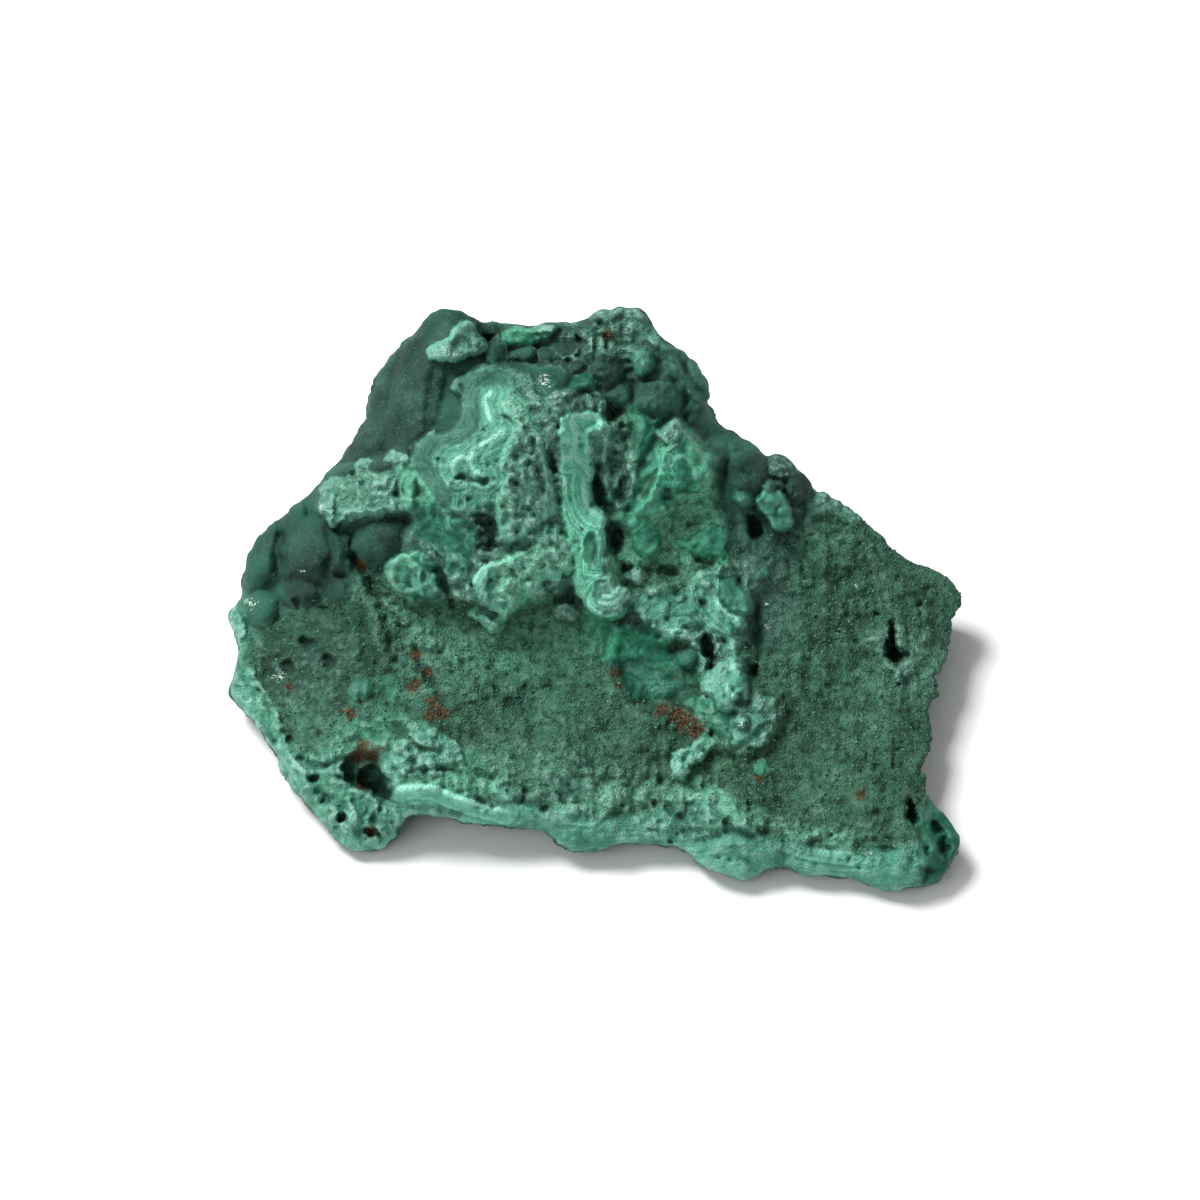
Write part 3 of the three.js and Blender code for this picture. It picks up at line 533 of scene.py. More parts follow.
for outline, proud, rounding, finish, shade, guide in stubs.values():
    loop = curveThrough(outline, cuts=4)
    part = around(loop, 12)
    reach = (reachOn(part, loop) + 3.0 * ragged[part] + 1.6 * frayed[part]) * pixel
    rise = np.clip(reach / rounding, 0, 1)
    face = proud * (1 - (1 - rise) ** 2.2) + 6 * np.minimum(reach, 0)
    lift[part] = -softMin(-lift[part], -face, 0.6)
    paint(part, smoothStep(-0.1, 0.3, reach), finish, shade)
    if guide is not None:
        run = curveThrough(guide, closed=False, cuts=5) if guide else loop
        phase = np.abs(reachOn(part, run, closed=not guide)) * pixel
        sheet["phase"][part] = np.where(reach > -0.3, phase, sheet["phase"][part])
    if finish == "coarse":
        rind = smoothStep(1.9, 0.8, reach + 0.5 * swell[part] + 0.3 * ragged[part])
        paint(part, 0.75 * rind * smoothStep(0.0, 0.3, reach), "banded", 1.1 * shade)
        sheet["phase"][part] = np.where(reach > -0.3, 1.2 * np.abs(reach), sheet["phase"][part])
    if finish == "green" and guide is not None:
        atLeast("seam", part, smoothStep(0, 0.4, reach))
# dull rind along the outside of the fan
fanOutline, *_, fanGuide = stubs["bandedFan"]
run = curveThrough(fanGuide, closed=False, cuts=5)
part = around(run, 20)
reach = reachOn(part, run, closed=False) + 2 * ragged[part]
within = reachOn(part, curveThrough(fanOutline, cuts=4))
paint(part, 0.72 * smoothStep(19, 14, reach) * smoothStep(-1, 1.5, within), "velvet", 0.72)
print("stubs", len(stubs))

# round lobes: middle, half sizes in pixels, millimetres proud, turn, finish, shade (own tone, with painted
# light and painted shade mixed in)
lobes = [
    # the first two, on the left flank, are darkened: painted shade where the lamp lights the flank strongly
    ((410, 395), (32, 62), 3.0, -14, "velvet", 0.54), ((372, 425), (22, 48), 2.6, -22, "velvet", 0.5),
    ((308, 552), (36, 38), 6.0, -10, "velvet", 0.42), ((260, 556), (20, 34), 4.6, -12, "velvet", 0.5),
    ((261, 608), (17, 19), 4.4, 0, "velvet", 0.55), ((315, 562), (15, 14), 7.8, 0, "velvet", 0.48),
    ((292, 522), (16, 20), 5.2, -30, "velvet", 0.46), ((274, 534), (13, 18), 4.6, -10, "velvet", 0.5),
    ((300, 590), (24, 17), 4.2, 20, "velvet", 0.52), ((335, 590), (17, 14), 3.0, 0, "velvet", 0.5),
    ((340, 552), (13, 24), 5.0, 8, "velvet", 0.55), ((380, 540), (28, 27), 5.0, 0, "velvet", 0.46),
    ((546, 386), (29, 21), 5.8, 20, "velvet", 0.58), ((583, 386), (22, 14), 4.4, 30, "green", 0.72),
    ((578, 404), (24, 9), 5.0, 8, "green", 0.95), ((552, 412), (14, 11), 4.6, 0, "green", 0.64),
    ((596, 402), (10, 12), 4.2, 10, "green", 0.8), ((498, 352), (12, 16), 3.0, 0, "velvet", 0.72),
    ((524, 352), (12, 9), 2.0, 10, "velvet", 0.7), ((546, 354), (10, 8), 2.0, 0, "velvet", 0.66),
    ((565, 347), (14, 12), 2.4, 0, "velvet", 0.62), ((577, 367), (8, 8), 2.4, 0, "velvet", 0.68),
    ((590, 360), (9, 8), 2.6, 0, "velvet", 0.66), ((605, 372), (19, 21), 5.0, 0, "velvet", 0.66),
    ((621, 396), (14, 13), 5.0, 0, "velvet", 0.64), ((659, 399), (27, 19), 6.0, -8, "velvet", 1.15),
    ((694, 414), (13, 14), 4.0, 0, "velvet", 0.8), ((643, 363), (12, 16), 3.5, 0, "green", 0.7),
    ((750, 474), (23, 26), 5.0, 0, "velvet", 0.68), ((778, 468), (15, 14), 3.4, 0, "coarse", 0.48),
    ((799, 486), (13, 17), 3.0, -25, "velvet", 0.62), ((745, 497), (13, 12), 4.6, 0, "green", 0.7),
    ((637, 440), (10, 36), 4.0, 4, "green", 0.62), ((637, 577), (11, 11), 3.5, 0, "coarse", 0.95),
    ((691, 656), (15, 13), 3.0, 0, "velvet", 1.15), ((752, 576), (19, 9), 3.0, 20, "green", 1.05),
    ((637, 618), (12, 9), 3.2, 0, "grey", 0.9), ((403, 455), (12, 10), 7.0, 0, "velvet", 0.8),
    ((682, 500), (8, 7), 2.0, 0, "earth", 1.0), ((568, 612), (15, 11), 2.2, 0, "coarse", 0.9),
    ((436, 444), (18, 10), 5.6, 30, "velvet", 0.9), ((742, 724), (16, 15), 5.4, 0, "velvet", 1.0),
    ((361, 689), (13, 12), 2.4, 0, "green", 0.68), ((761, 768), (9, 9), 1.4, 0, "green", 1.0),
    ((504, 468), (7, 9), 7.2, 0, "pale", 1.05), ((538, 468), (7, 8), 6.8, 0, "green", 0.95),
    ((652, 592), (12, 9), 5.0, 0, "coarse", 1.0), ((680, 596), (12, 10), 5.6, 0, "pale", 1.05),
    ((345, 471), (22, 9), 8.6, 15, "velvet", 0.78), ((380, 466), (21, 12), 8.8, 0, "velvet", 0.65),
    ((735, 858), (46, 24), 1.8, 0, "banded", 0.88), ((600, 834), (52, 17), 1.6, 0, "banded", 0.88),
    ((500, 816), (44, 12), 1.4, 4, "banded", 1.1), ((830, 864), (44, 15), 1.5, 0, "banded", 0.92),
    ((890, 868), (40, 19), 1.8, -4, "banded", 0.92), ((650, 826), (24, 16), 1.4, 0, "pale", 1.05),
    ((250, 690), (16, 26), 1.6, 20, "pale", 1.0), ((268, 735), (14, 30), 1.6, 30, "pale", 1.05),
    ((300, 775), (14, 26), 1.6, 38, "pale", 1.0), ((345, 815), (24, 18), 1.8, 20, "pale", 0.92),
    ((380, 822), (15, 18), 1.8, 0, "pale", 0.86), ((240, 625), (8, 18), 1.4, 10, "pale", 0.95),
    ((590, 548), (14, 34), 7.4, 0, "green", 0.95), ((738, 682), (10, 10), 6.8, 0, "green", 0.95),
    ((611, 497), (7, 8), 5.5, 0, "green", 1.0), ((428, 736), (27, 12), 3.0, -26, "pale", 1.0),
    ((453, 752), (14, 10), 2.6, -42, "pale", 0.9), ((405, 756), (15, 19), 2.2, 0, "pale", 0.95),
    ((426, 765), (26, 14), 2.0, 0, "pale", 0.85), ((415, 791), (25, 9), 2.4, 6, "banded", 1.4),
    ((456, 800), (28, 8), 2.0, -14, "banded", 1.3), ((664, 608), (14, 10), 5.6, 0, "banded", 1.05),
    ((692, 610), (12, 9), 5.4, 0, "green", 1.1), ((706, 584), (10, 9), 6.0, 0, "pale", 1.15),
    ((730, 630), (11, 12), 5.6, 0, "green", 1.0), ((655, 622), (9, 8), 5.2, 0, "pale", 0.9),
    ((503, 466), (6, 9), 8.2, 0, "pale", 1.15), ((509, 482), (5, 8), 8.2, 0, "pale", 1.1),
    ((514, 497), (5, 8), 8.2, 0, "pale", 1.1), ((520, 508), (6, 8), 8.2, 0, "pale", 1.05),
    ((526, 447), (6, 8), 8.0, 0, "pale", 1.05), ((530, 521), (10, 11), 8.4, 0, "coarse", 1.1),
    ((512, 452), (9, 10), 7.8, 0, "green", 1.0),
]
for (u, v), (across, down), proud, turn, finish, shade in lobes:
    part = around([(u - across, v - down), (u + across, v + down)], max(across, down))
    a = radians(turn)
    x = (sheetU[part] - u) + 1.8 * ragged[part]
    y = (v - sheetV[part]) + 1.8 * ragged[part]
    reach = 1 - ((x * cos(a) + y * sin(a)) / across) ** 2 - ((y * cos(a) - x * sin(a)) / down) ** 2
    dome = proud * (0.8 * np.sqrt(np.clip(reach, 0, 1)) + 0.2 * np.clip(reach, -2, 1))
    dome = dome + 2 * np.minimum(reach, 0)
    wins = smoothStep(-0.3, 0.3, dome - lift[part]) * smoothStep(0.0, 0.4, reach)
    lift[part] = -softMin(-lift[part], -dome, 0.8)
    paint(part, wins, finish, shade)
print("lobes", len(lobes))

# lumps and breaks a few millimetres across, by finish
knobs = sheetNoise(26, 4, 8, knobbly=True)
fineKnobs = sheetNoise(9, 3, 14, knobbly=True)
gnaw = np.clip(sheetNoise(15, 3, 12) - 0.25, 0, 1)
calm = 0.5 + 0.5 * smoothStep(0.5, 4.0, rimDistance)
domes = 0.55 - cellsAt(sheetPlaces, 22, 6).reshape(sheetU.shape)
domed = 1.6 * sheet["green"] + 0.8 * sheet["banded"] + 1.4 * sheet["pale"] + 0.7 * sheet["velvet"]
lift += calm * domes * domed
weathered = smoothStep(460, 560, sheetU)
# millimetres of each: swell, knobs, fine knobs, and bites taken out
lumps = {
    "earth": (1.2, 0.8, 0.45, 0),
    "coarse": (0, 1.2, 0.7, 1.6),
    "pale": (0.6, 1.5, 0.6, 1.8),
    "banded": (0.4, 0.6, 0.3, 0.9),
    "green": (0.4, 0.8, 0.35, 0.5),
    "velvet": (0.7, 0.35 + 0.6 * weathered, 0.12 + 0.45 * weathered, 0),
}
for name, (broad, knobby, fine, bitten) in lumps.items():
    lift += calm * sheet[name] * (broad * swell + knobby * knobs + fine * fineKnobs - bitten * gnaw)
lift += sheet["grey"] * 0.6 * knobs

# pits and holes: outline and depth
pits = [
    ([(339, 767), (349, 756), (364, 751), (382, 760), (386, 775), (396, 796), (384, 804), (374, 796),
      (359, 791), (345, 782)], 4.5),
    ([(358, 775), (372, 764), (383, 768), (388, 785), (392, 797), (380, 800), (366, 790)], 5),
    ([(884, 657), (887, 640), (888, 626), (892, 620), (899, 641), (908, 657), (903, 665), (896, 667)], 9),
    ([(933, 822), (941, 825), (947, 837), (953, 848), (947, 857), (938, 849), (941, 838), (934, 831)], 4),
    ([(922, 843), (931, 846), (930, 856), (923, 853)], 3),
    ([(921, 867), (929, 864), (934, 871), (925, 879)], 2.5),
    ([(320, 800), (327, 796), (331, 803), (324, 808)], 2.5),
    ([(337, 813), (345, 811), (348, 818), (340, 821)], 3),
    ([(286, 735), (293, 733), (296, 740), (289, 743)], 2),
    ([(261, 700), (267, 698), (271, 705), (264, 708)], 1.8),
    ([(300, 640), (312, 636), (318, 644), (306, 650)], 2),
    ([(322, 660), (332, 656), (336, 668), (326, 672)], 2),
    ([(280, 664), (292, 660), (296, 672), (284, 676)], 2.2),
    ([(262, 664), (270, 660), (272, 672), (264, 674)], 1.5),
    ([(904, 797), (911, 797), (918, 815), (916, 827), (910, 822), (905, 808)], 5),
    ([(616, 424), (625, 420), (631, 434), (631, 452), (622, 448)], 2.5),
    ([(618, 478), (630, 470), (633, 486), (624, 504), (616, 500)], 2.5),
    ([(588, 494), (592, 487), (600, 486), (608, 492), (609, 500), (604, 507), (595, 507)], 0.7),
    ([(476, 530), (494, 520), (499, 538), (490, 553), (478, 546)], 4),
    ([(458, 477), (463, 472), (469, 477), (476, 479), (482, 476), (490, 478), (486, 484), (477, 482),
      (470, 485), (463, 483)], 3),
    ([(464, 494), (472, 493), (474, 501), (466, 503)], 3),
    ([(703, 634), (712, 636), (719, 652), (716, 668), (708, 670), (703, 650)], 7),
    ([(653, 633), (660, 634), (660, 640), (654, 640)], 3),
    ([(746, 515), (760, 520), (763, 533), (751, 538)], 5),
    ([(480, 334), (496, 334), (500, 343), (486, 348)], 2.6),
    ([(562, 336), (580, 335), (586, 348), (570, 354)], 2.2),
    ([(548, 590), (556, 582), (572, 582), (578, 592), (570, 602), (555, 604)], 1.3),
    ([(604, 522), (618, 522), (626, 540), (618, 556), (606, 545)], 4.5),
    ([(290, 600), (297, 596), (303, 602), (298, 609)], 3.5),
    ([(316, 606), (328, 605), (332, 612), (322, 611)], 2.5),
    ([(306, 777), (318, 773), (320, 780), (310, 783)], 3),
    ([(364, 828), (374, 827), (378, 834), (368, 837)], 4),
    ([(431, 567), (437, 568), (437, 574), (431, 573)], 2),
    ([(546, 449), (554, 452), (557, 472), (549, 468)], 3),
    ([(700, 601), (708, 601), (708, 607), (701, 607)], 2.5),
    ([(470, 511), (490, 510), (493, 522), (476, 524)], 3),
    ([(748, 665), (757, 666), (758, 676), (750, 676)], 3),
    ([(622, 560), (632, 566), (626, 574), (618, 568)], 3),
    ([(660, 565), (676, 566), (682, 578), (664, 580)], 2),
]
for outline, depth in pits:
    loop = curveThrough(outline, cuts=4)
    part = around(loop, 12)
    reach = (reachOn(part, loop) + 2.4 * ragged[part] + 2.2 * frayed[part]) * pixel
    lift[part] -= depth * np.clip(reach / 1.2, 0, 1) ** 0.6
    # painted shade in the pit
    atLeast("pitShade", part, smoothStep(0.0, 1.2, reach))

# cracks and folds: points, millimetres up or down, half width in millimetres
runs = [
    ([(438, 570), (444, 584), (452, 604)], -2.8, 0.7), ([(352, 556), (366, 576), (380, 602)], -2.8, 0.8),
    ([(370, 604), (376, 630), (387, 662)], 1.5, 1.5), ([(366, 618), (366, 650)], -1.0, 0.9),
    ([(700, 560), (706, 564), (714, 567)], -2.0, 0.7), ([(410, 345), (400, 375), (390, 430)], 0.9, 1.2),
    ([(385, 360), (375, 400), (366, 432)], 0.8, 1.1), ([(428, 362), (422, 395), (420, 430)], 0.7, 1.4),
    ([(670, 350), (682, 380), (702, 408)], 1.3, 0.9), ([(656, 345), (668, 366), (676, 386)], 0.8, 1.1),
    ([(664, 348), (676, 372), (692, 396)], 0.7, 0.7), ([(382, 608), (389, 635), (396, 660)], -1.1, 0.9),
    ([(336, 528), (345, 548), (342, 575)], -1.6, 1.0), ([(278, 536), (278, 562), (288, 592)], -1.5, 1.0),
    ([(462, 385), (466, 405), (463, 426)], -0.8, 0.7), ([(560, 455), (562, 480), (566, 512)], 0.7, 0.8),
    ([(607, 440), (604, 465), (609, 492)], 3.6, 1.0), ([(524, 420), (536, 450), (541, 490)], -1.6, 0.9),
    ([(506, 455), (508, 480), (512, 508)], 1.0, 0.9), ([(518, 440), (522, 470), (528, 505)], 0.9, 0.8),
    ([(640, 470), (655, 440), (668, 415)], -1.4, 0.8), ([(690, 432), (716, 470), (722, 500)], -1.0, 1.0),
    ([(617, 620), (628, 622), (648, 632)], -1.5, 0.8), ([(754, 606), (759, 650), (754, 672)], -1.8, 0.9),
    ([(415, 655), (424, 668), (436, 690), (444, 702)], -1.2, 0.7),
    ([(720, 640), (722, 655), (716, 662)], -1.0, 0.6), ([(668, 806), (676, 822), (690, 836)], -0.9, 0.7),
    ([(436, 592), (420, 580), (424, 562)], 0.5, 0.5),
    ([(262, 688), (277, 715), (283, 735), (291, 757), (307, 777)], 1.3, 0.6),
    ([(250, 690), (262, 716), (271, 738), (284, 764), (300, 788)], -1.0, 0.8),
    ([(318, 792), (335, 800), (350, 812)], -1.1, 0.7), ([(352, 800), (362, 815), (360, 835)], -1.0, 0.6),
    ([(382, 806), (373, 820), (381, 838)], -1.0, 0.6), ([(298, 758), (322, 766), (342, 758)], -1.2, 0.7),
    ([(240, 612), (250, 634), (252, 660)], -1.0, 0.7), ([(360, 728), (380, 734), (398, 728)], -1.1, 0.7),
    ([(396, 768), (414, 772), (440, 768), (466, 776)], -1.0, 0.6),
    ([(420, 742), (436, 754), (462, 762)], 0.9, 0.6),
    ([(520, 748), (548, 744), (575, 756), (590, 776)], 0.8, 0.9),
    ([(476, 772), (500, 784), (530, 790)], -0.9, 0.7), ([(436, 366), (431, 390), (428, 425)], -0.7, 0.9),
    ([(402, 350), (392, 380), (380, 425)], -0.6, 0.8), ([(283, 560), (296, 580), (318, 586)], -1.2, 0.7),
    ([(326, 528), (332, 550), (326, 575)], -1.2, 0.7), ([(284, 508), (280, 524), (284, 545)], -1.3, 0.7),
    ([(600, 436), (597, 458), (602, 476)], -0.7, 0.7), ([(678, 356), (692, 380), (704, 400)], -1.2, 0.6),
    ([(660, 350), (672, 374), (684, 396)], -1.0, 0.6), ([(575, 395), (586, 392), (600, 400)], -1.2, 0.6),
    ([(580, 380), (592, 378), (602, 388)], -1.0, 0.6),
]
for points, height, width in runs:
    run = curveThrough(points, closed=False)
    part = around(run, 20)
    reach = (reachOn(part, run, closed=False) + 1.8 * ragged[part]) * pixel
    share = np.exp(-(reach / width) ** 2)
    lift[part] += height * share
    if height < -1.1:  # only the deep ones look dark
        # painted shade in deep cracks
        atLeast("pitShade", part, 0.75 * share)

# small pits and crumbs scattered over the broken faces
pitCount = 2600
pitDraws = np.random.default_rng(5).uniform((235, 315, 0, 0, 0), (955, 885, 1, 1, 1), (pitCount, 5))
made = 0
for u, v, chance, size, depth in pitDraws:
    row = np.searchsorted(sheetDown, v)
    column = np.searchsorted(sheetAcross, u)
    here = {name: sheet[name][row, column] for name in finishes}
    if chance > 0.36 * here["coarse"] + 0.55 * here["pale"] + 0.2 * here["banded"] + 0.05 * here["earth"]:
        continue
    radius = 1.4 + 2.6 * size ** 3
    part = around([(u, v)], 3 * radius)
    share = np.exp(-((sheetU[part] - u) ** 2 + (sheetV[part] - v) ** 2) / radius ** 2)
    lift[part] -= (0.4 + 1.2 * depth) * share
    # painted shade in the small pit
    atLeast("pitShade", part, 0.6 * share)
    made += 1
print("small pits", made)

# thin pale lines in the banding, then rings of them: middle and radius
lines = [
    [(490, 393), (485, 400), (487, 410), (490, 419)],
    [(502, 432), (494, 437), (486, 442), (478, 446), (471, 454), (471, 463), (475, 471), (484, 476)],
    [(469, 462), (466, 458), (459, 458), (453, 464), (453, 471), (457, 476)],
    [(604, 424), (598, 420), (590, 417), (577, 415), (573, 422), (576, 438), (575, 451), (579, 461),
     (585, 465), (589, 473), (584, 484), (585, 496), (590, 509), (598, 515), (605, 511)],
    [(638, 499), (651, 480), (662, 468), (669, 461), (682, 456), (692, 465), (696, 480)],
    [(712, 590), (718, 603), (728, 614), (742, 620)],
    [(398, 788), (420, 786), (440, 789), (458, 798), (505, 811)], [(785, 838), (810, 847), (850, 853)],
    [(560, 811), (590, 813)], [(660, 640), (668, 632), (684, 630)], [(470, 590), (478, 572), (492, 562)],
    [(600, 602), (610, 604), (620, 598), (626, 588)], [(604, 596), (612, 596), (618, 588)],
    [(430, 545), (440, 552), (448, 566)], [(386, 572), (394, 592), (412, 600)],
]
rings = [
    ((565, 450), 7), ((738, 682), 13), ((411, 487), 10), ((421, 577), 8), ((436, 582), 7),
    ((404, 574), 15), ((706, 704), 7), ((742, 725), 11),
]
for points in lines:
    run = curveThrough(points, closed=False)
    part = around(run, 20)
    sheet["line"][part] = np.minimum(sheet["line"][part], reachOn(part, run, closed=False) * pixel)
for (u, v), radius in rings:
    part = around([(u, v)], radius + 20)
    reach = np.hypot(sheetU[part] - u, 0.85 * (sheetV[part] - v)) - radius + 2.5 * ragged[part]
    sheet["line"][part] = np.minimum(sheet["line"][part], np.abs(reach) * pixel)

# growth bands run beside the pale lines
beside = smoothStep(6, 4, sheet["line"])
sheet["phase"] += beside * (sheet["line"] - sheet["phase"])

# stains and bright specks: middle and radius in pixels
rustAt = [
    ((430, 700), 10), ((438, 709), 11), ((428, 711), 8), ((413, 684), 7), ((416, 656), 8),
    ((424, 670), 6), ((352, 715), 7), ((342, 712), 6), ((362, 752), 10), ((376, 756), 10),
    ((362, 786), 8), ((694, 727), 10), ((686, 722), 9), ((678, 716), 10), ((660, 708), 8),
    ((614, 672), 8), ((617, 684), 6), ((758, 778), 6), ((863, 795), 7), ((606, 332), 7), ((362, 566), 8),
    ((372, 832), 6), ((290, 688), 5),
]
glintAt = [
    ((283, 680), 12), ((765, 605), 8), ((767, 627), 8), ((805, 580), 9), ((860, 588), 7), ((567, 335), 6),
    ((254, 606), 10), ((272, 572), 8), ((302, 570), 6), ((545, 386), 17), ((324, 508), 9),
    ((560, 395), 12), ((742, 725), 7), ((716, 800), 12), ((712, 588), 9), ((870, 858), 8),
    ((895, 846), 7), ((345, 830), 8),
]
for name, marks in (("rust", rustAt), ("glint", glintAt)):
    for (u, v), radius in marks:
        part = around([(u, v)], radius * 3)
        x = sheetU[part] - u + 0.5 * radius * ragged[part]
        y = sheetV[part] - v + 0.5 * radius * ragged[part][::-1, ::-1]
        atLeast(name, part, np.exp(-(x ** 2 + y ** 2) / radius ** 2))


# evens out single steps of the sheet
def blurred(values, times=1, reach=1):
    for _ in range(times):
        for axis in (0, 1):
            values = (np.roll(values, reach, axis) + 2 * values + np.roll(values, -reach, axis)) / 4
    return values


deepest = -14  # no hole goes further in, in millimetres
frontDepth = baseDepth + blurred(np.maximum(lift, deepest), 1)
# lumps a centimetre across, up or down from what lies round them; their tops get a painted highlight and
# the low ground between them gets painted shade
wide = lift
for reach in (1, 2, 4, 8, 12):
    wide = blurred(wide, 1, max(1, round(reach / sheetStep)))
sheet["form"] = np.clip(lift - wide, -2, 2)
slopeDown, slopeAcross = np.gradient(blurred(baseDepth, 2), sheetStep * pixel)
frontLean = 1 / np.sqrt(1 + slopeDown ** 2 + slopeAcross ** 2)
print("carved", round(float(lift.min()), 1), "to", round(float(lift.max()), 1), "mm")


def sample(values, u, v):
    x = np.clip((u - sheetAcross[0]) / sheetStep, 0, len(sheetAcross) - 1.001)
    y = np.clip((v - sheetDown[0]) / sheetStep, 0, len(sheetDown) - 1.001)
    i = x.astype(np.int32)
    j = y.astype(np.int32)
    fx = x - i
    fy = y - j
    top = values[j, i] * (1 - fx) + values[j, i + 1] * fx
    low = values[j + 1, i] * (1 - fx) + values[j + 1, i + 1] * fx
    return top * (1 - fy) + low * fy


# unseen walls and underside
wall = {
    "lowUndercut": 6,  # a low rim overhangs its foot
    "highSpread": 8,
    "highest": 66,
    "bulge": 2.5,
    "outset": 1.6,  # a little past the rim, which then trims it
    "flare": 3,
    "sunk": 0.65,  # share of a lobe's radius inside the wall
    # lobes of the back: bearing in degrees, share of the way down, radius
    "lobes": [(22, 0.55, 7), (35, 0.62, 10), (46, 0.4, 7), (52, 0.75, 13), (62, 0.45, 9), (72, 0.7, 15),
              (76, 0.3, 8), (86, 0.45, 10), (93, 0.82, 12), (97, 0.26, 9), (106, 0.55, 14), (113, 0.25, 8),
              (118, 0.85, 11), (124, 0.44, 12), (134, 0.68, 15), (138, 0.34, 8), (147, 0.5, 9),
              (157, 0.75, 11), (168, 0.5, 6)],
    # hollows of the underside: middle, half sizes, depth
    "hollows": [((-30, -14), (15, 11), 2.5), ((34, -20), (18, 9), 2.0), ((28, 20), (12, 15), 2.5),
                ((-32, 24), (14, 10), 3.0)],
}
rimHeight = heightAt(rimCurve[:, 0], rimCurve[:, 1])
rimSpace = toSpace(rimCurve[:, 0], rimCurve[:, 1], depthAtHeight(rimCurve[:, 1], rimHeight))
bearings = np.arctan2(rimSpace[:, 1], rimSpace[:, 0])
order = np.argsort(bearings)
bearings = bearings[order]
rimReach = np.hypot(rimSpace[:, 0], rimSpace[:, 1])[order]
rimTop = rimSpace[order, 2]


def wallReach(bearing, z):
    reach = np.interp(bearing, bearings, rimReach, period=2 * np.pi)
    top = np.interp(bearing, bearings, rimTop, period=2 * np.pi)
    tall = top / wall["highest"]
    spread = wall["highSpread"] * tall - wall["lowUndercut"] * (1 - tall)
    drop = np.clip(1 - z / top, 0, 1)
    reach = reach + spread * drop + wall["bulge"] * tall * np.sin(np.pi * drop)
    return reach + wall["flare"] * np.maximum(z - top, 0)


# the whole stone as one field, positive inside
def stoneField(x, y, z, front):
    u, v, depth = toPhoto(x, y, z)
    field = (sample(front, u, v) - depth) * sample(frontLean, u, v)
    field = softMin(field, wallReach(np.arctan2(y, x), z) + wall["outset"] - np.hypot(x, y), 2.0)
    for bearing, down, radius in wall["lobes"]:
        a = radians(bearing)
        top = np.interp(a, bearings, rimTop, period=2 * np.pi)
        reach = wallReach(np.array([a]), top * (1 - down))[0] - wall["sunk"] * radius
        height = max(top * (1 - down), radius)
        apart = (x - reach * cos(a)) ** 2 + (y - reach * sin(a)) ** 2 + (z - height) ** 2
        field = -softMin(-field, np.sqrt(apart) - radius, 1.5)
    field = softMin(field, sample(rimDistance, u, v), 1.0)
    ground = z + 0
    for (atX, atY), (halfX, halfY), depth in wall["hollows"]:
        bowl = 1 - ((x - atX) / halfX) ** 2 - ((y - atY) / halfY) ** 2
        ground = ground - depth * np.sqrt(np.clip(bowl, 0, 1))
    return softMin(field, ground, 0.8)


# the highest or lowest value within some steps of the sheet
def widened(values, steps, pick):
    reach = 1
    while reach <= steps:
        for axis in (0, 1):
            values = pick(pick(values, np.roll(values, reach, axis)), np.roll(values, -reach, axis))
        reach *= 2
    return values


# coarse blocks find where the surface runs, and only those are filled in at full size
cell = 0.35
block = 4
lows = np.array([-74.0, -56.0, -1.5])
highs = np.array([75.0, 58.0, 71.0])
blocks = np.ceil((highs - lows) / (cell * block)).astype(int)
coarse = [low + cell * block * (np.arange(n) + 0.5) for low, n in zip(lows, blocks)]
coarseX, coarseY, coarseZ = np.meshgrid(*coarse, indexing="ij")
steps = cell * block / (pixel * sheetStep)
highest = stoneField(coarseX, coarseY, coarseZ, widened(frontDepth, steps, np.maximum))
lowest = stoneField(coarseX, coarseY, coarseZ, widened(frontDepth, steps, np.minimum))
margin = cell * block * 1.5
near = (highest > -margin) & (lowest < margin)
field = np.where(lowest > 0, 5, -5).astype(np.float32)
for axis in range(3):
    field = np.repeat(field, block, axis)
    near = np.repeat(near, block, axis)
axes = [low + cell * (np.arange(n * block) + 0.5) for low, n in zip(lows, blocks)]
places = np.argwhere(near)
for some in np.array_split(places, 12):
    x, y, z = [axis[some[:, k]] for k, axis in enumerate(axes)]
    field[tuple(some.T)] = stoneField(x, y, z, frontDepth)
print("field", field.shape, len(places), "worked out")


# skin of a field by one point per mixed cell
def skinOf(field, axes):
    inside = field > 0
    corners = [np.array(c) for c in np.ndindex(2, 2, 2)]
    shape = np.array(field.shape) - 1
    count = sum(inside[tuple(slice(a, a + n) for a, n in zip(c, shape))].astype(np.int8) for c in corners)
    cells = np.argwhere((count > 0) & (count < 8))
    value = np.stack([field[tuple((cells + c).T)] for c in corners], 1)
    total = np.zeros((len(cells), 3))
    hits = np.zeros(len(cells))
    for i, a in enumerate(corners):
        for j, b in enumerate(corners):
            if j > i and np.abs(a - b).sum() == 1:
                mixed = (value[:, i] > 0) != (value[:, j] > 0)
                share = np.where(mixed, value[:, i] / np.where(mixed, value[:, i] - value[:, j], 1), 0)
                total += np.where(mixed[:, None], a + share[:, None] * (b - a), 0)
                hits += mixed
    step = np.array([axis[1] - axis[0] for axis in axes])
    points = (cells + total / hits[:, None]) * step + np.array([axis[0] for axis in axes])
    number = np.full(shape, -1, np.int32)
    number[tuple(cells.T)] = np.arange(len(cells))
    quads = []
    for axis in range(3):
        one = np.zeros(3, int)
        one[axis] = 1
        low = inside[tuple(slice(0, n) for n in np.array(field.shape) - one)]
        high = inside[tuple(slice(a, None) for a in one)]
        crossing = np.argwhere(low != high)
        rising = low[tuple(crossing.T)]
        p, q = [np.eye(3, dtype=int)[(axis + k) % 3] for k in (1, 2)]
        ring = np.stack([number[tuple((crossing - d).T)] for d in (p + q, q, 0 * p, p)], 1)
        quads.append(np.where(rising[:, None], ring, ring[:, ::-1]))
    return points, np.concatenate(quads)


points, quads = skinOf(field, axes)
print("skin", len(points), "points", len(quads), "faces")


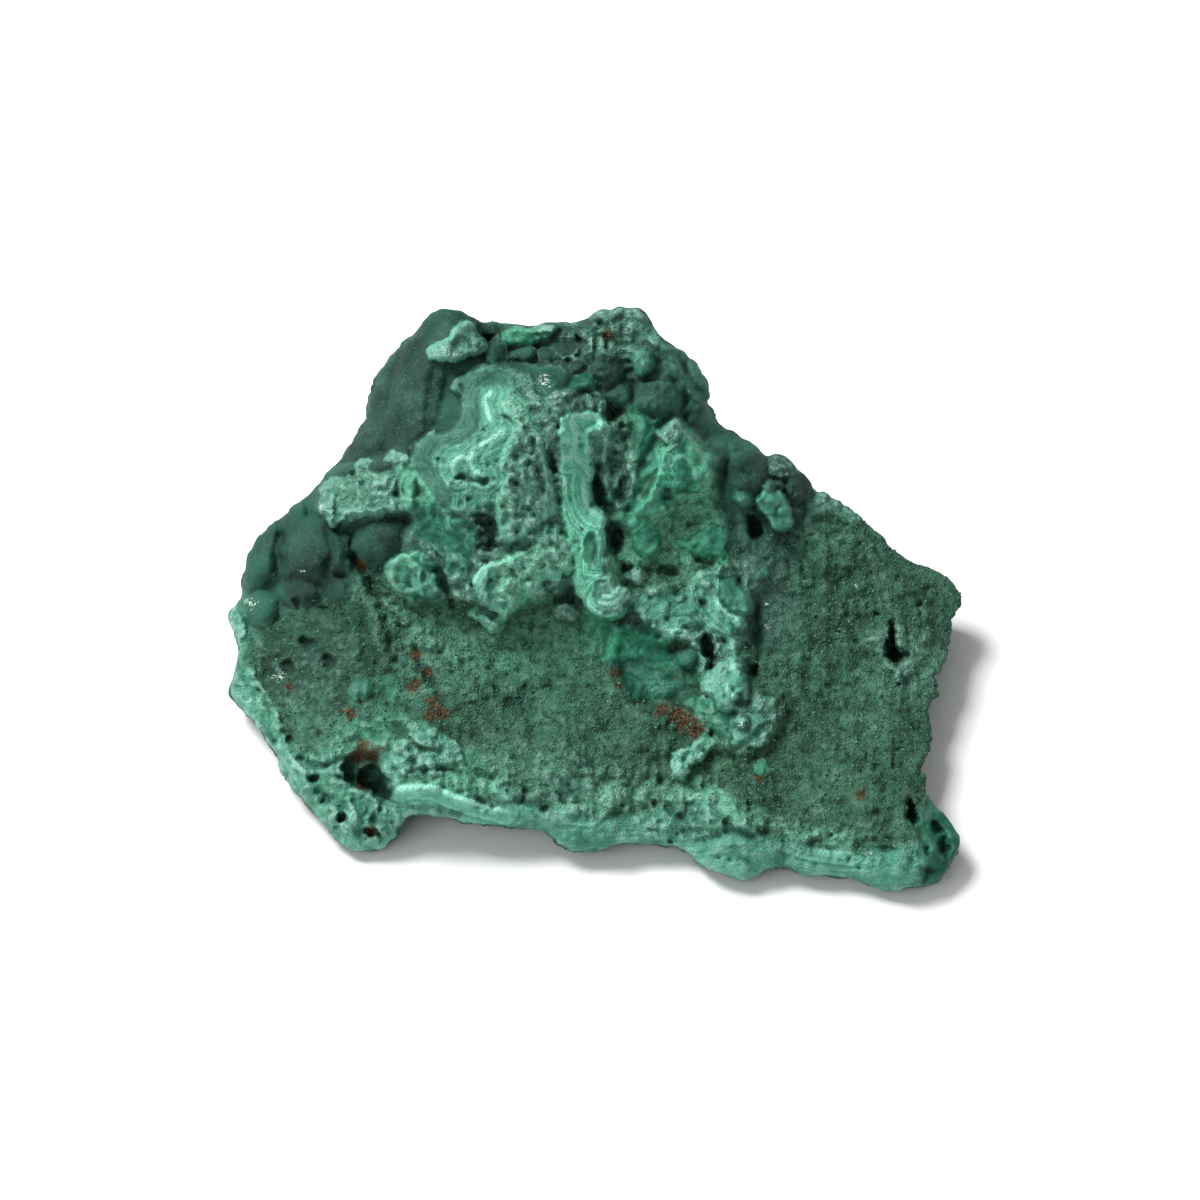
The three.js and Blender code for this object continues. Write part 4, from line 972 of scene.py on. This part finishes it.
def normalsOf(points, quads):
    first, second, third, fourth = [points[corner] for corner in quads.T]
    across = np.cross(third - first, fourth - second)
    total = np.zeros(points.shape)
    for corner in quads.T:
        total += np.stack([np.bincount(corner, column, len(points)) for column in across.T], -1)
    return total / np.maximum(np.linalg.norm(total, axis=1, keepdims=True), 1e-9)


def meshFrom(name, points, faces):
    made = bpy.data.meshes.new(name)
    made.from_pydata((points * millimetre).tolist(), [], faces.tolist())
    made.update()
    return made


def addObject(name, data):
    made = bpy.data.objects.new(name, data)
    bpy.context.scene.collection.objects.link(made)
    return made


# what each point of the skin is made of
normals = normalsOf(points, quads)
u, v, depth = toPhoto(*points.T)
behind = sample(frontDepth, u, v) - depth
facing = normals[:, 1] * outAxis[1] + normals[:, 2] * outAxis[2]
seen = smoothStep(3.0, 1.2, behind) * smoothStep(-0.25, 0.15, facing)
kind = {name: sample(sheet[name], u, v) for name in sheet}
patch = noiseAt(points, 22, 3, 7)
hiddenVelvet = smoothStep(-0.2, 0.25, patch + (points[:, 2] - 22) / 40) * (points[:, 2] > 0.6)
hidden = {"earth": 1 - hiddenVelvet, "velvet": hiddenVelvet, "shade": 0.92 + 0.1 * patch, "line": 9.0}
for name in kind:
    kind[name] = kind[name] * seen + (1 - seen) * hidden.get(name, 0.0)

# fine relief in millimetres, by finish
rough = noiseAt(points, 1.9, 2, 1)
crumbs = 0.5 - cellsAt(points, 1.3, 2)
bubbles = 0.55 - cellsAt(points, 5.5, 4)
folds = noiseAt(points * np.array([1, 0.5, 0.35]), 3.5, 2, 6)
relief = (1 - seen) * (1.6 * kind["velvet"] + 0.6 * kind["earth"]) * bubbles
relief += 0.18 * kind["velvet"] * folds + 0.05 * kind["banded"] * np.cos(kind["phase"] * 5.5)
grit = {"earth": (0.2, 0.42), "coarse": (0.22, 0.34), "pale": (0.26, 0.2), "grey": (0.2, 0.15),
        "velvet": (0.07, 0), "banded": (0.12, 0), "green": (0.14, 0)}
for name, (roughly, crumbly) in grit.items():
    relief += kind[name] * (roughly * rough + crumbly * crumbs)
resting = smoothStep(0.2, 1.5, points[:, 2])
points = points + normals * (relief * resting)[:, None]
points[:, 2] = np.maximum(points[:, 2], 0)
normals = normalsOf(points, quads)

# edges that stand proud get pale wear and a painted highlight, and what lies low gets painted shade
pairs = np.concatenate([quads[:, [0, 1]], quads[:, [1, 2]], quads[:, [2, 3]], quads[:, [3, 0]]])
links = np.bincount(pairs[:, 0], minlength=len(points))[:, None]


def evened(values, times):
    for _ in range(times):
        total = [np.bincount(pairs[:, 0], column[pairs[:, 1]], len(values)) for column in values.T]
        values = 0.5 * values + 0.5 * np.stack(total, -1) / np.maximum(links, 1)
    return values


kind["proud"] = np.clip(((points - evened(points, 24)) * normals).sum(-1), -0.8, 0.8)

# one skin in several meshes, each of a size that stays easy to handle
splits = {"height": 0.9, "photoDown": 598, "across": -4}
faceSeen = seen[quads].mean(1) > 0.5
faceLow = points[quads, 2].mean(1) < splits["height"]
faceUpper = v[quads].mean(1) < splits["photoDown"]
faceLeft = points[quads, 0].mean(1) < splits["across"]
skins = {
    "moundLeft": faceSeen & faceUpper & faceLeft,
    "moundRight": faceSeen & faceUpper & ~faceLeft,
    "slabLeft": faceSeen & ~faceUpper & faceLeft,
    "slabRight": faceSeen & ~faceUpper & ~faceLeft,
    "backLeft": ~faceSeen & ~faceLow & faceLeft,
    "backRight": ~faceSeen & ~faceLow & ~faceLeft,
    "underside": ~faceSeen & faceLow,
}
pieces = {}
for name, chosen in skins.items():
    used, faces = np.unique(quads[chosen], return_inverse=True)
    skin = meshFrom(name, points[used], faces.reshape(-1, 4))
    skin.polygons.foreach_set("use_smooth", np.ones(len(skin.polygons), bool))
    skin.normals_split_custom_set_from_vertices(normals[used].tolist())
    for layerName, values in kind.items():
        layer = skin.attributes.new(layerName, "FLOAT", "POINT")
        layer.data.foreach_set("value", values[used].astype(np.float32))
    pieces[name] = addObject(name, skin)
    print(name, 2 * len(skin.polygons), "triangles")

# malachite: dark velvet crust, earthy grains, green glassy patches and pale banded breaks in one stone
stoneLook = bpy.data.materials.new("malachite")
stoneLook.use_nodes = True
tree = stoneLook.node_tree
tree.nodes.clear()
place = addNode(tree, "ShaderNodeTexCoord").outputs["Object"]
known = {name: addNode(tree, "ShaderNodeAttribute", attribute_name=name) for name in kind}
# speckles: size in millimetres, detail, roughness
speckles = {"fleck": (0.45, 2, 0.6), "grain": (1.0, 3, 0.6), "mottle": (2.8, 5, 0.68),
            "cloud": (8, 5, 0.62), "drift": (26, 4, 0.55)}
for name, (size, detail, roughness) in speckles.items():
    known[name] = addNode(tree, "ShaderNodeTexNoise", {"Vector": place, "Scale": 1000 / size,
                                                       "Detail": detail, "Roughness": roughness})
# two speckles in one: share of the second
mixtures = {"crumb": ("fleck", "grain", 0.45), "broken": ("crumb", "mottle", 0.5),
            "clot": ("mottle", "cloud", 0.5), "earthy": ("crumb", "clot", 0.6),
            "dusty": ("cloud", "fleck", 0.3), "glassy": ("cloud", "mottle", 0.4)}
for name, (first, second, share) in mixtures.items():
    known[name] = addNode(tree, "ShaderNodeMix", {0: share, 2: known[first], 3: known[second]})
# one map with some of another added
sums = {"wander": ("phase", "mottle", 0.9), "lineSpot": ("line", "grain", 0.5),
        "bright": ("banded", "green", 0.24), "rustSpot": ("broken", "rust", 0.52),
        "glintSpot": ("crumb", "glint", 0.35), "sleek": ("green", "pale", 0.7),
        "torn": ("coarse", "pale", 1.0), "ragged": ("torn", "banded", 0.5),
        "gritty": ("ragged", "earth", 1.0)}
for name, (first, second, share) in sums.items():
    known[name] = addNode(tree, "ShaderNodeMath", {0: known[second], 1: share, 2: known[first]},
                          operation="MULTIPLY_ADD")
# growth bands follow the phase, wander a little and fade away from where they start
bands = addNode(tree, "ShaderNodeTexNoise", {"W": known["wander"], "Scale": 1.7, "Detail": 3.0,
                                             "Roughness": 0.7}, noise_dimensions="1D")
fade = addNode(tree, "ShaderNodeMapRange", {"Value": known["phase"], "From Min": 2.2, "From Max": 6.5,
                                            "To Max": 0.75})
bands = addNode(tree, "ShaderNodeMix", {0: fade, 2: bands, 3: known["glassy"]})
known["bands"] = addNode(tree, "ShaderNodeMix", {0: 0.25, 2: bands, 3: known["broken"]})
# rings of growth round the middle of each small lobe
eyeSize = 6  # millimetres
bent = addNode(tree, "ShaderNodeVectorMath", {0: known["mottle"].outputs["Color"], 1: (0.004, 0.004, 0.004),
                                              2: place}, operation="MULTIPLY_ADD")
eye = addNode(tree, "ShaderNodeTexVoronoi", {"Vector": bent, "Scale": 1000 / eyeSize})
eyeRings = addNode(tree, "ShaderNodeTexNoise", {"W": eye, "Scale": 9.0, "Detail": 2.0, "Roughness": 0.6},
                   noise_dimensions="1D")
known["glassy"] = addNode(tree, "ShaderNodeMix", {0: 0.4, 2: known["glassy"], 3: eyeRings})
eyeEdge = addNode(tree, "ShaderNodeMath", {0: eye, 1: 0.4}, operation="SUBTRACT")
known["eyeLine"] = addNode(tree, "ShaderNodeMath", {0: eyeEdge}, operation="ABSOLUTE")
# what each finish shows, from its lows to its highs
layers = {
    "earth": ("earthy", [(0.34, "#1f392e"), (0.43, "#386353"), (0.5, "#467863"), (0.57, "#548872"),
                         (0.68, "#8ab59e")]),
    "velvet": ("dusty", [(0.36, "#1d3d33"), (0.46, "#284c41"), (0.54, "#31584b"), (0.64, "#456e62")]),
    "green": ("glassy", [(0.36, "#174e3a"), (0.46, "#26664f"), (0.53, "#357c62"), (0.6, "#4d9a7f"),
                         (0.68, "#7cc0a7")]),
    "coarse": ("broken", [(0.34, "#365f50"), (0.43, "#4c806c"), (0.5, "#5c937e"), (0.57, "#6ea690"),
                          (0.66, "#9ccbb8")]),
    "pale": ("clot", [(0.34, "#2f6852"), (0.43, "#45856d"), (0.51, "#579a82"), (0.58, "#70b49d"),
                      (0.66, "#9fd6c2")]),
    "grey": ("crumb", [(0.36, "#21362f"), (0.5, "#3a534b"), (0.62, "#526e65"), (0.7, "#8fa39c")]),
    "banded": ("bands", [(0.34, "#2d6c57"), (0.44, "#44886f"), (0.52, "#579d84"), (0.59, "#77b8a1"),
                         (0.67, "#aeddcc")]),
}
colour = None
for name, (speckle, stops) in layers.items():
    tint = addNode(tree, "ShaderNodeValToRGB", {"Fac": known[speckle]}, stops)
    if colour:
        tint = addNode(tree, "ShaderNodeMix", {0: known[name], 6: colour, 7: tint}, data_type="RGBA")
    colour = tint
# olive drift over the earthy floor
olive = addNode(tree, "ShaderNodeMapRange", {"Value": known["drift"], "From Min": 0.46, "From Max": 0.6,
                                             "To Max": 0.5})
olive = addNode(tree, "ShaderNodeMath", {0: olive, 1: known["earth"]}, operation="MULTIPLY")
colour = addNode(tree, "ShaderNodeMix", {0: olive, 6: colour, 7: linear("#b9a98a")}, data_type="RGBA",
                 blend_type="MULTIPLY")
# the shade map scales the colour: the finish's own tone, with painted light and painted shade mixed in
colour = addNode(tree, "ShaderNodeVectorMath", {0: colour, "Scale": known["shade"]}, operation="SCALE")
# where the pale lines, the seams, the worn and highlighted edges, and all but the velvet (for the painted
# lump highlight) are
drawn = addNode(tree, "ShaderNodeMapRange", {"Value": known["mottle"], "From Min": 0.4, "From Max": 0.55,
                                             "To Min": 0.65})
known["drawn"] = addNode(tree, "ShaderNodeMath", {0: drawn, 1: known["bright"]}, operation="MULTIPLY")
known["seamed"] = addNode(tree, "ShaderNodeMapRange", {"Value": known["cloud"], "From Min": 0.42,
                                                       "From Max": 0.6, "To Max": known["seam"]})
# pale wear and painted highlight on edges that stand proud
known["wearAndHighlight"] = addNode(tree, "ShaderNodeMath", {0: known["proud"], 1: known["mottle"]},
                        operation="MULTIPLY")
known["bare"] = addNode(tree, "ShaderNodeMath", {0: 1.0, 1: known["velvet"]}, operation="SUBTRACT")
known["rustTint"] = addNode(tree, "ShaderNodeValToRGB", {"Fac": known["fleck"]},
                            [(0.4, "#241c16"), (0.52, "#4a3723"), (0.66, "#875a2e")])
# coats over that: what brings each out, from none to full, how much, where, its colour
coats = [
    ("drift", 0.46, 0.6, 0.5, "velvet", "#2a6852"),
    ("fleck", 0.64, 0.76, 0.35, "velvet", "#8aa39a"),
    ("mottle", 0.47, 0.34, 0.6, "earth", "#1c3329"),
    ("mottle", 0.56, 0.7, 0.45, "earth", "#6f9a80"),
    ("eyeLine", 0.07, 0.0, 0.5, "seamed", "#8fcdb6"),
    ("lineSpot", 0.8, 0.44, 0.9, "drawn", "#aef4da"),
    ("line", 3.2, 0.2, 0.36, "banded", "#86d2ba"),
    ("fleck", 0.62, 0.74, 0.4, "ragged", "#b9e2d3"),
    ("cloud", 0.5, 0.38, 0.6, "pale", "#2c6a54"),
    # painted highlight on the tops of lumps, kept off the velvet
    ("form", 0.3, 1.8, 0.16, "bare", "#8cbfae"),
    # painted shade low between lumps
    ("form", -0.2, -1.8, 0.35, None, "#14271f"),
    # pale wear and painted highlight on proud edges
    ("wearAndHighlight", 0.02, 0.16, 0.55, "ragged", "#a4d6c4"),
    # painted shade where the skin lies low between edges
    ("proud", -0.06, -0.45, 0.5, None, "#1d2f28"),
    # painted shade in pits and deep cracks
    ("pitShade", 0.0, 1.0, 0.35, None, "#1e2f28"),
    ("rustSpot", 0.64, 0.88, 0.88, None, "rustTint"),
    ("glintSpot", 0.84, 0.9, 0.9, None, "#c6d6cf"),
]
for spot, none, full, most, where, tint in coats:
    share = addNode(tree, "ShaderNodeMapRange", {"Value": known[spot], "From Min": none, "From Max": full,
                                                 "To Max": most})
    if where:
        share = addNode(tree, "ShaderNodeMath", {0: share, 1: known[where]}, operation="MULTIPLY")
    tint = known[tint] if tint in known else linear(tint)
    colour = addNode(tree, "ShaderNodeMix", {0: share, 6: colour, 7: tint}, data_type="RGBA")
gritty = addNode(tree, "ShaderNodeMath", {0: known["gritty"], 1: 0.25}, operation="ADD")
gritty = addNode(tree, "ShaderNodeMath", {0: gritty, 1: known["crumb"]}, operation="MULTIPLY")
bump = addNode(tree, "ShaderNodeBump", {"Height": gritty, "Distance": 0.0016, "Strength": 1.0})
glossy = addNode(tree, "ShaderNodeMath", {0: known["sleek"], 1: -0.34, 2: 0.7}, operation="MULTIPLY_ADD")
surface = addNode(tree, "ShaderNodeBsdfPrincipled", {"Base Color": colour, "Roughness": glossy,
                                                     "Normal": bump, "Specular IOR Level": 0.14})
addNode(tree, "ShaderNodeOutputMaterial", {"Surface": surface})
for piece in pieces.values():
    piece.data.materials.append(stoneLook)
    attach(piece, "root")
    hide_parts("malachite")

# loose grains of the earthy floor, a few tenths of a millimetre across
grainSet = {"Density": 6.0e5, "Radius": 0.0003, "Seed": 11}
seatMesh = meshFrom("grainSeat", points, quads[faceSeen])
# no grains where the shade map paints light onto the floor, nor in painted pit shade
seatShare = kind["earth"] * (1 - kind["pitShade"]) * seen * smoothStep(1.9, 1.3, kind["shade"])
layer = seatMesh.attributes.new("seat", "FLOAT", "POINT")
layer.data.foreach_set("value", seatShare.astype(np.float32))
seatObject = addObject("grainSeat", seatMesh)
# crumbs of matrix: mostly dull green, some dark, so that the floor looks sandy
grainLook = bpy.data.materials.new("matrix grain")
grainLook.use_nodes = True
look = grainLook.node_tree
look.nodes.clear()
tone = addNode(look, "ShaderNodeAttribute", attribute_name="tone")
tint = addNode(look, "ShaderNodeValToRGB", {"Fac": tone},
               [(0.0, "#22392f"), (0.25, "#375f4f"), (0.75, "#4a7a66"), (1.0, "#5d8d77")])
shell = addNode(look, "ShaderNodeBsdfPrincipled", {"Base Color": tint, "Roughness": 0.85,
                                                   "Specular IOR Level": 0.15})
addNode(look, "ShaderNodeOutputMaterial", {"Surface": shell})
group = bpy.data.node_groups.new("scattered grains", "GeometryNodeTree")
sockets = {"Geometry": "NodeSocketGeometry", "Density": "NodeSocketFloat", "Radius": "NodeSocketFloat",
           "Seed": "NodeSocketInt"}
for name, socketKind in sockets.items():
    group.interface.new_socket(name, in_out="INPUT", socket_type=socketKind)
group.interface.new_socket("Geometry", in_out="OUTPUT", socket_type="NodeSocketGeometry")
given = addNode(group, "NodeGroupInput").outputs
seat = addNode(group, "GeometryNodeInputNamedAttribute", {"Name": "seat"}, data_type="FLOAT")
density = addNode(group, "ShaderNodeMath", {0: seat, 1: given["Density"]}, operation="MULTIPLY")
spread = addNode(group, "GeometryNodeDistributePointsOnFaces",
                 {"Mesh": given["Geometry"], "Density": density, "Seed": given["Seed"]})
toneDraw = addNode(group, "FunctionNodeRandomValue", {"Seed": given["Seed"]}, data_type="FLOAT")
toned = addNode(group, "GeometryNodeStoreNamedAttribute",
                {"Geometry": spread, "Name": "tone", "Value": toneDraw}, data_type="FLOAT", domain="POINT")
ball = addNode(group, "GeometryNodeMeshIcoSphere", {"Radius": given["Radius"], "Subdivisions": 1})
turned = addNode(group, "FunctionNodeRandomValue", {0: (0, 0, 0), 1: (6.28, 6.28, 6.28), "Seed": 3},
                 data_type="FLOAT_VECTOR")
sized = addNode(group, "FunctionNodeRandomValue", {0: (0.4, 0.4, 0.3), 1: (1.3, 1.3, 0.9), "Seed": 4},
                data_type="FLOAT_VECTOR")
placed = addNode(group, "GeometryNodeInstanceOnPoints",
                 {"Points": toned, "Instance": ball, "Rotation": turned, "Scale": sized})
solid = addNode(group, "GeometryNodeRealizeInstances", {"Geometry": placed})
dressed = addNode(group, "GeometryNodeSetMaterial", {"Geometry": solid, "Material": grainLook})
addNode(group, "NodeGroupOutput", {"Geometry": dressed})
scatterer = seatObject.modifiers.new("grains", "NODES")
scatterer.node_group = group
for name, value in grainSet.items():
    scatterer[group.interface.items_tree[name].identifier] = value
grainMesh = bpy.data.meshes.new_from_object(seatObject.evaluated_get(bpy.context.evaluated_depsgraph_get()))
bpy.data.objects.remove(seatObject)
grains = addObject("grains", grainMesh)
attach(grains, "root")
print("grains", len(grainMesh.polygons), "triangles")

# plain pale floor
floorHalf = 3000
floorCorners = floorHalf * np.array([(-1, -1, 0), (1, -1, 0), (1, 1, 0), (-1, 1, 0)], float)
floorMesh = meshFrom("floor", floorCorners, np.array([(0, 1, 2, 3)]))
floor = addObject("floor", floorMesh)
# matt white card under the stone
floorLook = bpy.data.materials.new("white card")
floorLook.use_nodes = True
card = floorLook.node_tree.nodes["Principled BSDF"]
card.inputs["Base Color"].default_value = linear("#fbfbfb")
card.inputs["Roughness"].default_value = 0.9
floorMesh.materials.append(floorLook)

# soft light from above, a weaker one from the front left
lights = {
    "overhead": {"at": (-0.4, 0.16, 0.75), "size": 0.4, "power": 9.9, "aim": (0, 0, 0.02)},
    "front": {"at": (-0.6, -0.8, 0.7), "size": 0.8, "power": 4.15, "aim": (0, 0, 0.03)},
}
for name, light in lights.items():
    lamp = bpy.data.lights.new(name, "AREA")
    lamp.size = light["size"]
    lamp.energy = light["power"]
    made = addObject(name, lamp)
    made.location = light["at"]
    aim = np.array(light["aim"]) - np.array(light["at"])
    made.rotation_euler = (atan2(np.hypot(aim[0], aim[1]), -aim[2]), 0, atan2(-aim[0], aim[1]))
world = bpy.data.worlds.new("studio")
world.use_nodes = True
world.node_tree.nodes["Background"].inputs["Color"].default_value = linear("#ffffff")
world.node_tree.nodes["Background"].inputs["Strength"].default_value = 0.32
bpy.context.scene.world = world
bpy.context.scene.view_settings.view_transform = "Standard"

# camera where the photograph was taken from
lens = bpy.data.cameras.new("camera")
lens.sensor_width = 36
lens.lens = 36 * view["distance"] / (2 * view["middle"] * pixel)
camera = addObject("camera", lens)
camera.location = [(t + view["distance"] * o) * millimetre for t, o in zip(view["target"], outAxis)]
camera.rotation_euler = (radians(90 - view["elevation"]), 0, 0)
bpy.context.scene.camera = camera
